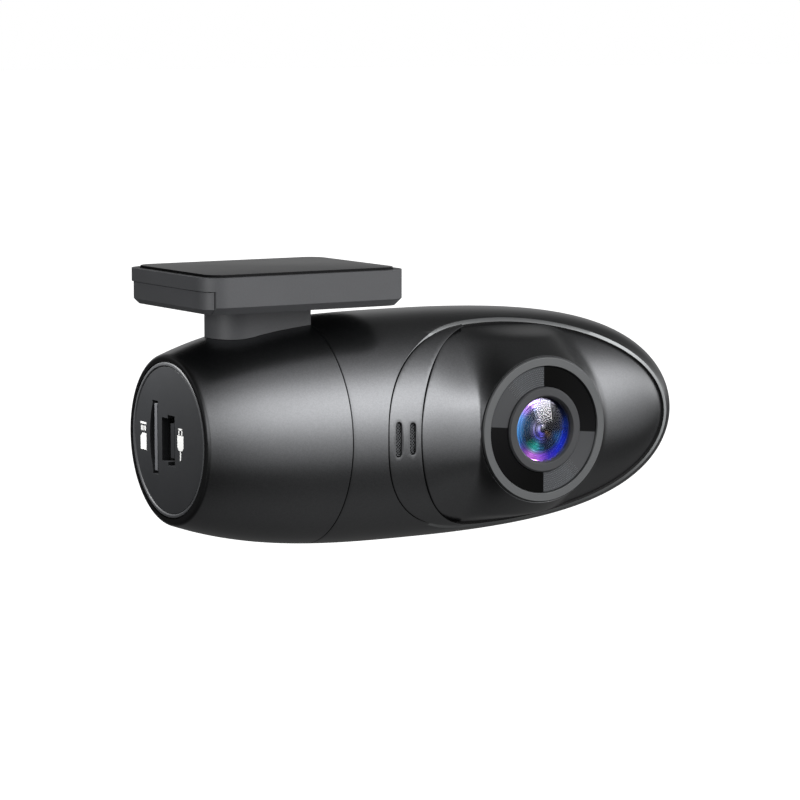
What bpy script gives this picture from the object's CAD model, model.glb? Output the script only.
"""A dash camera: satin sprayed hull that turns about its own axis, port end, lens and windscreen mount.

Lengths in the classes are in millimetres, in the camera's own axes: x runs from the port end to the
nose, -y is the way the lens looks, +z is up, and the hull is round about y = z = 0.
"""
import logging
import math
from dataclasses import dataclass
from enum import Enum
from typing import Callable, Protocol, Sequence

import bmesh
import bpy
import numpy as np
from mathutils import Matrix, Vector
from mathutils.geometry import delaunay_2d_cdt


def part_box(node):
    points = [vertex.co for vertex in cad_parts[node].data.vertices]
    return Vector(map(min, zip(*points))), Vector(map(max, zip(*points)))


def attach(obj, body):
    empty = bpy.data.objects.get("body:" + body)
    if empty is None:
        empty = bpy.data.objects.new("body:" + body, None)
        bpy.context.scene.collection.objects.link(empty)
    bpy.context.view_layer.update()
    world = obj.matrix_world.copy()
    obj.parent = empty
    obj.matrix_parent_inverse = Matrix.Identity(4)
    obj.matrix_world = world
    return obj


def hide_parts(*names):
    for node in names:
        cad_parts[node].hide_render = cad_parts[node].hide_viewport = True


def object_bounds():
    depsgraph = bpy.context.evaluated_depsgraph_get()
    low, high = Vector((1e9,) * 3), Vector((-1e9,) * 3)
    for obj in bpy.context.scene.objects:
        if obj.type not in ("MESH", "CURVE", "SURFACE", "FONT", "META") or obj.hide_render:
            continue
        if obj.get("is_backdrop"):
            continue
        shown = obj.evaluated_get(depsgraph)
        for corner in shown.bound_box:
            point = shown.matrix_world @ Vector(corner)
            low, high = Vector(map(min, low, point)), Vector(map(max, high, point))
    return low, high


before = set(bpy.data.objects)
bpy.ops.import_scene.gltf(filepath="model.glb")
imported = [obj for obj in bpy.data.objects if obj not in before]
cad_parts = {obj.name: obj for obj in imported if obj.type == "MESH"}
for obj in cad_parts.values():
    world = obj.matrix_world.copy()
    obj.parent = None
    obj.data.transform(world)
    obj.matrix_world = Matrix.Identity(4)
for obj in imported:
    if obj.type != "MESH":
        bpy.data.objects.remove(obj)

LOG = logging.getLogger("dash_camera")
MM = 0.001
MATH, VECTOR_MATH, COLOUR_RAMP = "ShaderNodeMath", "ShaderNodeVectorMath", "ShaderNodeValToRGB"
TRANSFORM = "GeometryNodeTransform"
CRISP_ANGLE = 28.0           # degrees; edges that turn by more stay crisp
CLOUD_SIZE = 9.0             # of the broad unevenness in every finish, in millimetres
JOIN_DISTANCE = 0.002        # corners closer than this are one, in millimetres
Tree, Socket, Piece = bpy.types.NodeTree, bpy.types.NodeSocket, bpy.types.Object
Points = np.ndarray
Rows = list[tuple[Points, float]]
Pair = tuple[float, float]
Surface = Callable[[Points, np.ndarray], Points]


# ---------------- frame
def corners(node: str) -> tuple[Points, Points]:
    """Lowest and highest corner of a CAD node, in millimetres of the row frame."""
    low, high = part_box(node)
    return np.array(low) / MM, np.array(high) / MM


@dataclass(frozen=True)
class Axes:
    """The camera's own axes in the row frame.

    Attributes:
        origin: where the hull's axis meets the port end, in millimetres of the row frame.
    """

    origin: tuple[float, float, float]

    @classmethod
    def from_frame(cls) -> "Axes":
        """Axes read off the barrel's end and the round trim ring.

        Returns:
            The filled-in class.
        """
        start, _ = corners("barrel_shell")
        low, high = corners("port_trim_ring")
        return cls((float(start[0]), float(low[1] + high[1]) / 2, float(low[2] + high[2]) / 2))

    def place(self, points: Points) -> Points:
        """Turns millimetres in the camera's axes into metres in the row frame."""
        return (np.asarray(points, float) + np.array(self.origin)) * MM

    def box(self, node: str) -> tuple[Points, Points]:
        """Lowest and highest corner of a CAD node in the camera's axes."""
        low, high = corners(node)
        return low - np.array(self.origin), high - np.array(self.origin)


AXES = Axes.from_frame()


# ---------------- nodes
def add_node(
    tree: Tree,
    kind: str,
    inputs: dict | None = None,
    stops: Sequence[tuple[float, str | float]] = (),
    **settings: object,
) -> bpy.types.Node:
    """Adds a node, sets its properties and fills or links its inputs.

    Args:
        tree: the node tree that gets the node.
        kind: Blender's type name of the node.
        inputs: values or output sockets by input name or number.
        stops: a colour ramp's places with their colours, as sRGB hex codes or as shares of white.
        settings: properties of the node itself.

    Returns:
        The new node.
    """
    node = tree.nodes.new(kind)
    for name, value in settings.items():
        setattr(node, name, value)
    for key, value in (inputs or {}).items():
        socket = node.inputs[key]
        if isinstance(value, Socket):
            tree.links.new(value, socket)
        else:
            socket.default_value = value
    while stops and len(node.color_ramp.elements) < len(stops):
        node.color_ramp.elements.new(1.0)
    for i, (place, colour) in enumerate(stops):
        element = node.color_ramp.elements[i]
        element.position = place
        element.color = linear(colour) if isinstance(colour, str) else (colour, colour, colour, 1.0)
    return node


def linear(code: str) -> tuple[float, float, float, float]:
    """Linear colour of an sRGB hex code.

    Args:
        code: as in #aabbcc.

    Returns:
        Red, green, blue and 1.
    """
    parts = [int(code[i:i + 2], 16) / 255 for i in (1, 3, 5)]
    red, green, blue = [p / 12.92 if p <= 0.04045 else ((p + 0.055) / 1.055) ** 2.4 for p in parts]
    return red, green, blue, 1.0


def new_material(name: str) -> tuple[bpy.types.Material, Tree, bpy.types.Node]:
    """Starts a material.

    Args:
        name: the material's name.

    Returns:
        The material, its node tree and its shader.
    """
    material = bpy.data.materials.new(name)
    material.use_nodes = True
    return material, material.node_tree, material.node_tree.nodes["Principled BSDF"]


class Pattern(Enum):
    """How a finish's surface is broken up."""

    GRAIN = "spark-eroded mould grain"
    FLAKE = "fine metal flake in lacquer"
    TURNED = "rings left by turning about the lens axis"
    FOAM = "open cells"
    BOARD = "copper tracks under solder mask"
    SMOOTH = "polished or as cast, with faint handling marks"


@dataclass(frozen=True)
class Finish:
    """One real material with its surface.

    Attributes:
        name: the material's common name and how it was made.
        colour: main sRGB colour.
        accent: second sRGB colour, which the pattern mixes in.
        roughness: middle roughness.
        spread: how far the pattern moves the roughness either way.
        metallic: 1 for bare metal.
        ior: index of refraction; metals keep the default.
        pattern: how the surface is broken up.
        pitch: size of the pattern's features in millimetres.
        relief: height of the pattern in millimetres.
        clear: share of light that passes through.
    """

    name: str
    colour: str
    accent: str
    roughness: float
    spread: float = 0.05
    metallic: float = 0.0
    ior: float = 1.5
    pattern: Pattern = Pattern.GRAIN
    pitch: float = 0.3
    relief: float = 0.004
    clear: float = 0.0

    def build(self) -> bpy.types.Material:
        """Makes the material, or returns the one made before.

        Returns:
            The material.
        """
        found = bpy.data.materials.get(self.name)
        if found:
            return found
        material, tree, shader = new_material(self.name)
        place = add_node(tree, "ShaderNodeTexCoord").outputs["Object"]
        fine, broad = self.height(tree, place), self.clouds(tree, place)
        share = add_node(tree, MATH, {0: fine, 1: broad}, operation="ADD").outputs[0]
        half = add_node(tree, MATH, {0: share, 1: 0.5}, operation="MULTIPLY", use_clamp=True).outputs[0]
        mix = add_node(tree, "ShaderNodeMix", {
            "Factor": half, "A": linear(self.colour), "B": linear(self.accent),
        }, data_type="RGBA")
        mixed = next(socket for socket in mix.outputs if socket.type == "RGBA")
        tree.links.new(mixed, shader.inputs["Base Color"])
        rough = add_node(tree, "ShaderNodeMapRange", {
            "Value": half, "To Min": self.roughness - self.spread, "To Max": self.roughness + self.spread,
        })
        tree.links.new(rough.outputs[0], shader.inputs["Roughness"])
        bump = add_node(tree, "ShaderNodeBump", {"Height": fine, "Distance": self.relief * MM})
        tree.links.new(bump.outputs[0], shader.inputs["Normal"])
        shader.inputs["Metallic"].default_value = self.metallic
        shader.inputs["IOR"].default_value = self.ior
        shader.inputs["Transmission Weight"].default_value = self.clear
        return material

    def height(self, tree: Tree, place: Socket) -> Socket:
        """Height of the fine pattern.

        Args:
            tree: the material's node tree.
            place: object coordinates.

        Returns:
            The height, from 0 to 1.
        """
        scale = 1 / (self.pitch * MM)
        if self.pattern is Pattern.FLAKE:
            cells = add_node(tree, "ShaderNodeTexVoronoi", {"Vector": place, "Scale": scale})
            return add_node(tree, "ShaderNodeSeparateColor", {0: cells.outputs["Color"]}).outputs[0]
        if self.pattern is Pattern.FOAM:
            cells = add_node(tree, "ShaderNodeTexVoronoi", {"Vector": place, "Scale": scale})
            return cells.outputs["Distance"]
        if self.pattern is Pattern.TURNED:
            return self.turned(tree, scale)
        if self.pattern is Pattern.BOARD:
            return self.tracks(tree, place, scale)
        detail = 1.0 if self.pattern is Pattern.SMOOTH else 3.0
        noise = add_node(tree, "ShaderNodeTexNoise", {"Vector": place, "Scale": scale, "Detail": detail})
        return noise.outputs[0]

    def clouds(self, tree: Tree, place: Socket) -> Socket:
        """Broad, weak unevenness, as spraying, moulding and handling leave it.

        Args:
            tree: the material's node tree.
            place: object coordinates.

        Returns:
            The unevenness, from 0.3 to 0.7.
        """
        scale = 1 / (CLOUD_SIZE * MM)
        noise = add_node(tree, "ShaderNodeTexNoise", {"Vector": place, "Scale": scale, "Detail": 2.0})
        return add_node(tree, "ShaderNodeMapRange", {
            "Value": noise.outputs[0], "From Min": 0.3, "From Max": 0.7, "To Min": 0.3, "To Max": 0.7,
        }).outputs[0]

    def turned(self, tree: Tree, scale: float) -> Socket:
        """Fine rings about the lens axis.

        Args:
            tree: the material's node tree.
            scale: rings to the metre.

        Returns:
            The height, from 0 to 1.
        """
        low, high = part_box("lens_ring")
        radius, _ = polar(tree, tuple((low + high) / 2))
        noise = add_node(
            tree, "ShaderNodeTexNoise", {"W": radius, "Scale": scale * MM, "Detail": 2.0},
            noise_dimensions="1D",
        )
        return noise.outputs[0]

    def tracks(self, tree: Tree, place: Socket, scale: float) -> Socket:
        """Straight runs of copper, raised a little under the mask.

        Args:
            tree: the material's node tree.
            place: object coordinates.
            scale: runs to the metre.

        Returns:
            1 on a run of copper, 0 beside it.
        """
        cells = add_node(tree, "ShaderNodeTexVoronoi", {
            "Vector": place, "Scale": scale,
        }, distance="CHEBYCHEV").outputs["Distance"]
        steps = add_node(tree, MATH, {0: cells, 1: 0.25}, operation="PINGPONG").outputs[0]
        return add_node(tree, MATH, {0: steps, 1: 0.12}, operation="GREATER_THAN").outputs[0]


# ---------------- finishes
# Sprayed ABS: satin lacquer with fine flake, so that light draws a broad soft band with a dark half below
HULL = Finish(
    "abs_satin_charcoal_lacquer", "#737476", "#848587", roughness=0.29, spread=0.02, metallic=1.0,
    pattern=Pattern.FLAKE, pitch=0.16, relief=0.0008,
)
# The lacquer is cut back on the opening's bevel, which shows as a bright satin line
RIM = Finish(
    "abs_cut_satin_rim", "#969899", "#a4a6a7", roughness=0.42, spread=0.04, metallic=0.8, pitch=0.25,
    relief=0.002,
)
# Bare moulded ABS: lighter and drier than the hull, with a fine spark-eroded grain
MOUNT = Finish(
    "abs_moulded_grey_fine_grain", "#525355", "#636467", roughness=0.5, spread=0.06, pitch=0.22,
    relief=0.012,
)
# Polyester film over the adhesive: dark and smooth, with soft broad reflections
PAD_FILM = Finish(
    "polyester_release_film", "#2a2b2d", "#343538", roughness=0.34, spread=0.04, ior=1.55,
    pattern=Pattern.SMOOTH, pitch=3.0, relief=0.01,
)
# Cut side of the acrylic foam: black and dull, with open cells
PAD_FOAM = Finish(
    "acrylic_foam_tape_cut", "#0c0c0d", "#1c1c1e", roughness=0.9, ior=1.4, pattern=Pattern.FOAM, pitch=0.35,
    relief=0.05,
)
# Moulded ABS without lacquer: even, matt and dark
PORT = Finish(
    "abs_moulded_charcoal_matt", "#242527", "#303133", roughness=0.48, pitch=0.25, relief=0.008,
)
# Moulded ABS of the trim ring: a shade lighter than the plate that it holds
TRIM = Finish(
    "abs_satin_trim_ring", "#3c3d3f", "#464749", roughness=0.5, spread=0.04, relief=0.003,
)
# Moulded ABS key: satin black, a little worn smooth
KEY = Finish(
    "abs_key_satin", "#1c1c1e", "#2a2a2d", roughness=0.35, pitch=0.25, relief=0.006,
)
# Anodised aluminium, turned: mid grey with fine rings that catch the light along the edges
RING = Finish(
    "aluminium_anodised_grey", "#67696a", "#777879", roughness=0.42, spread=0.06, metallic=1.0, ior=1.45,
    pattern=Pattern.TURNED, pitch=0.12,
)
# Moulded ABS round the glass: matt, so that nothing glares beside the lens
BEZEL = Finish(
    "abs_bezel_matt", "#454648", "#4e4f52", roughness=0.5, metallic=0.1, pitch=0.2, relief=0.006,
)
# Nickel-plated steel of screws, shells and springs: bright, with soft uneven reflections
STEEL = Finish(
    "steel_nickel_plated", "#8f8f8d", "#a6a6a3", roughness=0.28, spread=0.06, metallic=1.0, ior=1.45,
    pattern=Pattern.SMOOTH, pitch=0.6, relief=0.003,
)
# Glass-filled polymer of a board connector: light grey and slightly dull
CONTACT = Finish(
    "lcp_contact_carrier_grey", "#808286", "#8c8e92", roughness=0.45, ior=1.6,
)
# Glass-filled polymer of the socket's tongue: black, so that the mouth stays dark
TONGUE = Finish(
    "lcp_contact_carrier_black", "#232426", "#2c2d2f", roughness=0.4, ior=1.6,
)
# Moulded epoxy of the memory card: its end shows as a lighter line in the slot
CARD = Finish(
    "epoxy_memory_card", "#5c5d60", "#6a6b6e", roughness=0.38, ior=1.55, pitch=0.2, relief=0.003,
)
# Glass fibre with green solder mask: glossy, with copper runs raised a little under it
BOARD = Finish(
    "fibreglass_board_green_mask", "#0d3b26", "#1a5a38", roughness=0.35, spread=0.06, ior=1.55,
    pattern=Pattern.BOARD, pitch=1.6, relief=0.02,
)
# Moulded epoxy of the chips: black and matt
RESIN = Finish(
    "epoxy_chip_package", "#19191b", "#29292c", roughness=0.55, spread=0.06, ior=1.55, pitch=0.2,
    relief=0.006,
)
# Shrunk sleeve round the capacitors: blue and glossy, with gentle waves
SLEEVE = Finish(
    "pvc_shrink_sleeve", "#1a2c5a", "#243b74", roughness=0.32, ior=1.53, pattern=Pattern.SMOOTH, pitch=2.0,
    relief=0.03,
)
# Polished acrylic of the light pipe: clear, with a faint edge
CLEAR = Finish(
    "acrylic_light_pipe", "#d8dde0", "#e6eaec", roughness=0.12, spread=0.03, ior=1.49,
    pattern=Pattern.SMOOTH, pitch=1.0, relief=0.002, clear=0.85,
)
# Moulded ABS inside the camera: black and matt, with a coarser grain
INNER = Finish(
    "abs_inner_black_matt", "#18181a", "#262628", roughness=0.55, relief=0.01,
)
# Black anodised aluminium of the lens tube: turned, so that it shows faint rings
TUBE = Finish(
    "aluminium_black_anodised", "#1a1a1c", "#29292c", roughness=0.4, metallic=1.0, ior=1.45,
    pattern=Pattern.TURNED, relief=0.01,
)
# Silicon die behind glass: dark violet and mirror-like
SENSOR = Finish(
    "silicon_sensor_die", "#1c2438", "#3a2f56", roughness=0.15, spread=0.04, metallic=0.6,
    pattern=Pattern.SMOOTH, pitch=0.8, relief=0.001,
)
# Polyimide ribbon: amber and slightly wavy
RIBBON = Finish(
    "polyimide_ribbon", "#7a4a12", "#94601f", roughness=0.3, ior=1.6, pattern=Pattern.SMOOTH, pitch=0.8,
)
# Polished optical glass: clear, seen only by its reflections
GLASS = Finish(
    "optical_glass_coated", "#ffffff", "#f4f6ff", roughness=0.0, spread=0.0, pattern=Pattern.SMOOTH,
    pitch=5.0, relief=0.0, clear=1.0,
)
# Polyester threads of the acoustic mesh: grey and dry
CLOTH = Finish(
    "polyester_acoustic_mesh", "#5a5b5e", "#77797c", roughness=0.6, spread=0.08, pitch=0.1, relief=0.006,
)
# Knurled ABS of the disc's textured sectors: its points catch more light than the plain grey
KNURL = Finish(
    "abs_knurled_satin", "#8a8c8f", "#9a9c9f", roughness=0.45, metallic=0.4, pitch=0.2, relief=0.002,
)
# Pad-printed ink: flat white
INK = Finish(
    "pad_printed_white_ink", "#e8e8e6", "#f6f6f4", roughness=0.5, pitch=0.12,
)
# Inner side of the shells, seen only through the joints: black
GAP = Finish(
    "abs_unlit_inner_black", "#0a0a0b", "#101011", roughness=0.7,
)


class Dressing(Protocol):
    """Anything that can make a material."""

    def build(self) -> bpy.types.Material:
        """Makes the material."""


# ---------------- mesh tools
def make_object(
    name: str,
    points: Points,
    faces: Sequence[Sequence[int]],
    finishes: Sequence[Dressing],
    picks: Sequence[int] | None = None,
    sharp: float = CRISP_ANGLE,
) -> Piece:
    """Makes a smooth-shaded mesh object from points in the camera's axes.

    Args:
        name: the piece's name.
        points: corners in millimetres.
        faces: corner numbers of each face.
        finishes: the piece's finishes, in order.
        picks: the finish number of each face; all 0 where left out.
        sharp: edges that turn by more than this many degrees stay crisp.

    Returns:
        The object, at the origin, with its place in its mesh.
    """
    mesh = bpy.data.meshes.new(name)
    mesh.from_pydata(AXES.place(points).tolist(), [], [list(map(int, f)) for f in faces])
    for finish in finishes:
        mesh.materials.append(finish.build())
    if picks is not None:
        mesh.polygons.foreach_set("material_index", np.asarray(picks, np.int32))
    work = bmesh.new()
    work.from_mesh(mesh)
    bmesh.ops.remove_doubles(work, verts=work.verts, dist=2e-7)
    bmesh.ops.delete(work, geom=[v for v in work.verts if not v.link_faces], context="VERTS")
    bmesh.ops.recalc_face_normals(work, faces=work.faces)
    work.to_mesh(mesh)
    work.free()
    mesh.shade_smooth()
    mesh.set_sharp_from_angle(angle=math.radians(sharp))
    piece = bpy.data.objects.new(name, mesh)
    bpy.context.scene.collection.objects.link(piece)
    return piece


def empty_piece(name: str) -> Piece:
    """An object with an empty mesh in the scene, for a node tree to fill.

    Args:
        name: the piece's name.

    Returns:
        The object.
    """
    piece = bpy.data.objects.new(name, bpy.data.meshes.new(name))
    bpy.context.scene.collection.objects.link(piece)
    return piece


def settle(piece: Piece, body: str, nodes: Sequence[str] = ()) -> Piece:
    """Fixes a piece to its body and reports it.

    Args:
        piece: the finished piece.
        body: the body that it moves with.
        nodes: the CAD nodes that it stands for.

    Returns:
        The same piece.
    """
    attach(piece, body)
    if nodes:
        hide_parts(*nodes)
    LOG.info("%s: %d faces on %s", piece.name, len(piece.data.polygons), body)
    return piece


def inside(points: Points, loop: Points) -> np.ndarray:
    """Which points lie inside a closed loop, by counting crossings.

    Args:
        points: flat points.
        loop: the loop's corners in order.

    Returns:
        True for each point inside.
    """
    x, y = points[:, :1], points[:, 1:2]
    x0, y0 = loop[:, 0], loop[:, 1]
    x1, y1 = np.roll(loop, -1, axis=0).T
    rise = np.where(np.abs(y1 - y0) < 1e-12, 1e-12, y1 - y0)
    crossed = ((y0 > y) != (y1 > y)) & (x < (x1 - x0) * (y - y0) / rise + x0)
    return crossed.sum(axis=1) % 2 == 1


def clear_of(points: Points, loops: Sequence[Points], gap: float) -> np.ndarray:
    """Which points keep away from every corner of the loops.

    Args:
        points: flat points.
        loops: the loops to keep away from.
        gap: the least distance.

    Returns:
        True for each point that is far enough.
    """
    free = np.ones(len(points), bool)
    for loop in loops:
        for part in np.array_split(loop, max(1, len(loop) // 100)):
            away = np.linalg.norm(points[:, None, :] - part[None, :, :], axis=2).min(axis=1)
            free &= away > gap
    return free


def offset_loop(loop: Points, distance: float) -> Points:
    """Moves a loop sideways.

    Args:
        loop: the loop's corners in order.
        distance: how far; inwards where it is above 0.

    Returns:
        The moved corners.
    """
    ahead, behind = np.roll(loop, -1, axis=0), np.roll(loop, 1, axis=0)
    along = ahead - behind
    along /= np.linalg.norm(along, axis=1)[:, None]
    area = np.sum(loop[:, 0] * ahead[:, 1] - ahead[:, 0] * loop[:, 1])
    left = np.stack([-along[:, 1], along[:, 0]], axis=1)
    return loop + left * distance * math.copysign(1.0, area)


def rounded_rows(loop: Points, radius: float, hole: bool = False, steps: int = 3) -> Rows:
    """Rows of a rounded edge, from the wall to the face.

    Args:
        loop: the edge as seen from the front.
        radius: of the rounding.
        hole: the piece lies outside the loop.
        steps: rows across the rounding.

    Returns:
        Loops with their depth under the face.
    """
    rows = []
    for i in range(steps + 1):
        turn = math.pi / 2 * i / steps
        across = radius * (1 - math.cos(turn))
        rows.append((offset_loop(loop, -across if hole else across), radius * (1 - math.sin(turn))))
    return rows


def hex_grid(outer: Points, holes: Sequence[Points], spacing: float) -> Points:
    """Spreads points evenly inside a loop and outside its holes.

    Args:
        outer: the loop.
        holes: loops inside it.
        spacing: between neighbours.

    Returns:
        The points, clear of every loop.
    """
    low, high = outer.min(axis=0), outer.max(axis=0)
    across = np.arange(low[0], high[0], spacing)
    up = np.arange(low[1], high[1], spacing * math.sqrt(0.75))
    x, y = np.meshgrid(across, up)
    x[1::2] += spacing / 2
    points = np.stack([x.ravel(), y.ravel()], axis=1)
    points = points[inside(points, outer)]
    for hole in holes:
        points = points[~inside(points, hole)]
    return points[clear_of(points, [outer, *holes], spacing * 0.55)]


def make_skin(
    name: str,
    borders: Sequence[Rows],
    grid: Points,
    surface: Surface,
    thickness: float,
    finishes: Sequence[Dressing],
    bevel_depth: float = 9.0,
) -> Piece:
    """Makes a closed shell over a flat plan.

    Args:
        name: the piece's name.
        borders: the outer border and then the holes, each as rows from its edge inwards.
        grid: plan points between the borders.
        surface: gives space points for plan points and depths.
        thickness: of the shell.
        finishes: the face, and optionally the bevelled edge and the inner side.
        bevel_depth: front faces that reach deeper than this get the second finish.

    Returns:
        The piece.
    """
    plan, depths, edges, starts = [], [], [], []
    for rows in borders:
        starts.append((len(plan), len(rows[0][0])))
        for loop, depth in rows:
            first, count = len(plan), len(loop)
            plan.extend(loop.tolist())
            depths.extend(np.broadcast_to(depth, count).tolist())
            edges.extend((first + i, first + (i + 1) % count) for i in range(count))
    plan.extend(grid.tolist())
    depths.extend([0.0] * len(grid))
    flat, _, triangles, sources, _, _ = delaunay_2d_cdt([Vector(p) for p in plan], edges, [], 0, 1e-7)
    flat = np.array([tuple(p) for p in flat])
    depth = np.array([depths[s[0]] if s else 0.0 for s in sources])
    triangles = np.array([t for t in triangles if len(t) == 3])
    middle = flat[triangles].mean(axis=1)
    kept = inside(middle, borders[0][0][0])
    for rows in borders[1:]:
        kept &= ~inside(middle, rows[0][0])
    triangles = triangles[kept]
    where = {source: i for i, found in enumerate(sources) for source in found}
    count = len(flat)
    front, back = surface(flat, depth), surface(flat, np.full(count, thickness))
    faces = triangles.tolist() + (triangles[:, ::-1] + count).tolist()
    bevelled = (depth[triangles].max(axis=1) > bevel_depth).astype(int)
    picks = bevelled.tolist() + [len(finishes) - 1] * len(triangles)
    for first, length in starts:
        ring = [where[first + i] for i in range(length)]
        for a, b in zip(ring, ring[1:] + ring[:1]):
            faces.append([a, b, b + count, a + count])
            picks.append(len(finishes) - 1)
    return make_object(name, np.concatenate([front, back]), faces, finishes, picks)


def revolve_y(
    name: str,
    profile: Sequence[tuple[float, float]],
    centre: tuple[float, float],
    finishes: Sequence[Dressing],
    segments: int = 160,
    sharp: float = CRISP_ANGLE,
) -> Piece:
    """Turns a closed profile about an axis along y.

    Args:
        name: the piece's name.
        profile: (radius, y) corners; a radius of 0 is a pole.
        centre: (x, z) of the axis.
        finishes: the piece's finishes.
        segments: steps round the axis.
        sharp: edges that turn by more stay crisp.

    Returns:
        The piece.
    """
    turns = np.linspace(0, 2 * math.pi, segments, endpoint=False)
    points, faces = [], []
    for radius, y in profile:
        across, up = centre[0] + radius * np.cos(turns), centre[1] + radius * np.sin(turns)
        points.extend(zip(across, [y] * segments, up))
    for row in range(len(profile)):
        a, b = row * segments, (row + 1) % len(profile) * segments
        for i in range(segments):
            j = (i + 1) % segments
            faces.append([a + i, a + j, b + j, b + i])
    return make_object(name, np.array(points), faces, finishes, None, sharp)


def arc(centre: Pair, radius: float, start: float, end: float, steps: int) -> list[Pair]:
    """Points on an arc.

    Args:
        centre: of the arc.
        radius: of the arc.
        start: first angle in degrees.
        end: last angle in degrees.
        steps: between the first point and the last.

    Returns:
        The points in order.
    """
    turns = [math.radians(start + (end - start) * i / steps) for i in range(steps + 1)]
    return [(centre[0] + radius * math.cos(t), centre[1] + radius * math.sin(t)) for t in turns]


def add_tree(piece: Piece, tree: Tree, values: dict[str, object]) -> bpy.types.NodesModifier:
    """Puts a node tree on a piece, with its inputs set by their sockets' identifiers.

    Args:
        piece: the object that gets the modifier.
        tree: a geometry node tree with named inputs.
        values: the inputs by name.

    Returns:
        The modifier.
    """
    modifier = piece.modifiers.new(tree.name, "NODES")
    modifier.node_group = tree
    for item in tree.interface.items_tree:
        if item.item_type == "SOCKET" and item.in_out == "INPUT" and item.name in values:
            modifier[item.identifier] = values[item.name]
    return modifier


def apply_tree(
    piece: Piece, tree: Tree, values: dict[str, object], sharp: float = CRISP_ANGLE
) -> Piece:
    """Runs a node tree on a piece and leaves the result as its plain mesh.

    Args:
        piece: the object whose mesh is replaced.
        tree: a geometry node tree with named inputs.
        values: the inputs by name.
        sharp: edges that turn by more stay crisp.

    Returns:
        The same piece.
    """
    modifier = add_tree(piece, tree, values)
    bpy.context.view_layer.update()
    evaluated = piece.evaluated_get(bpy.context.evaluated_depsgraph_get())
    mesh = bpy.data.meshes.new_from_object(evaluated)
    piece.modifiers.remove(modifier)
    piece.data = mesh
    mesh.shade_smooth()
    mesh.set_sharp_from_angle(angle=math.radians(sharp))
    return piece


def new_tree(name: str, inputs: dict[str, str]) -> tuple[Tree, bpy.types.Node]:
    """Starts a geometry node tree.

    Args:
        name: the tree's name.
        inputs: socket types by the inputs' names.

    Returns:
        The tree and its input node.
    """
    tree = bpy.data.node_groups.new(name, "GeometryNodeTree")
    tree.interface.new_socket("Geometry", in_out="INPUT", socket_type="NodeSocketGeometry")
    for label, kind in inputs.items():
        tree.interface.new_socket(label, in_out="INPUT", socket_type=kind)
    tree.interface.new_socket("Geometry", in_out="OUTPUT", socket_type="NodeSocketGeometry")
    return tree, add_node(tree, "NodeGroupInput")


def end_tree(tree: Tree, geometry: Socket, material: Socket) -> None:
    """Ends a tree in real geometry with its material.

    Args:
        tree: the tree to end.
        geometry: what it has made.
        material: the finish for all of it.
    """
    real = add_node(tree, "GeometryNodeRealizeInstances", {0: geometry})
    dressed = add_node(tree, "GeometryNodeSetMaterial", {0: real.outputs[0], "Material": material})
    add_node(tree, "NodeGroupOutput", {0: dressed.outputs[0]})


def unit_circle(count: int) -> Points:
    """Evenly spaced points on a circle of radius 1."""
    turns = np.linspace(0, 2 * math.pi, count, endpoint=False)
    return np.stack([np.cos(turns), np.sin(turns)], axis=1)


def smoothstep(low: float, high: float, value: np.ndarray) -> np.ndarray:
    """0 below low, 1 above high and a smooth rise between."""
    t = np.clip((value - low) / (high - low), 0, 1)
    return t * t * (3 - 2 * t)


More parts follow.
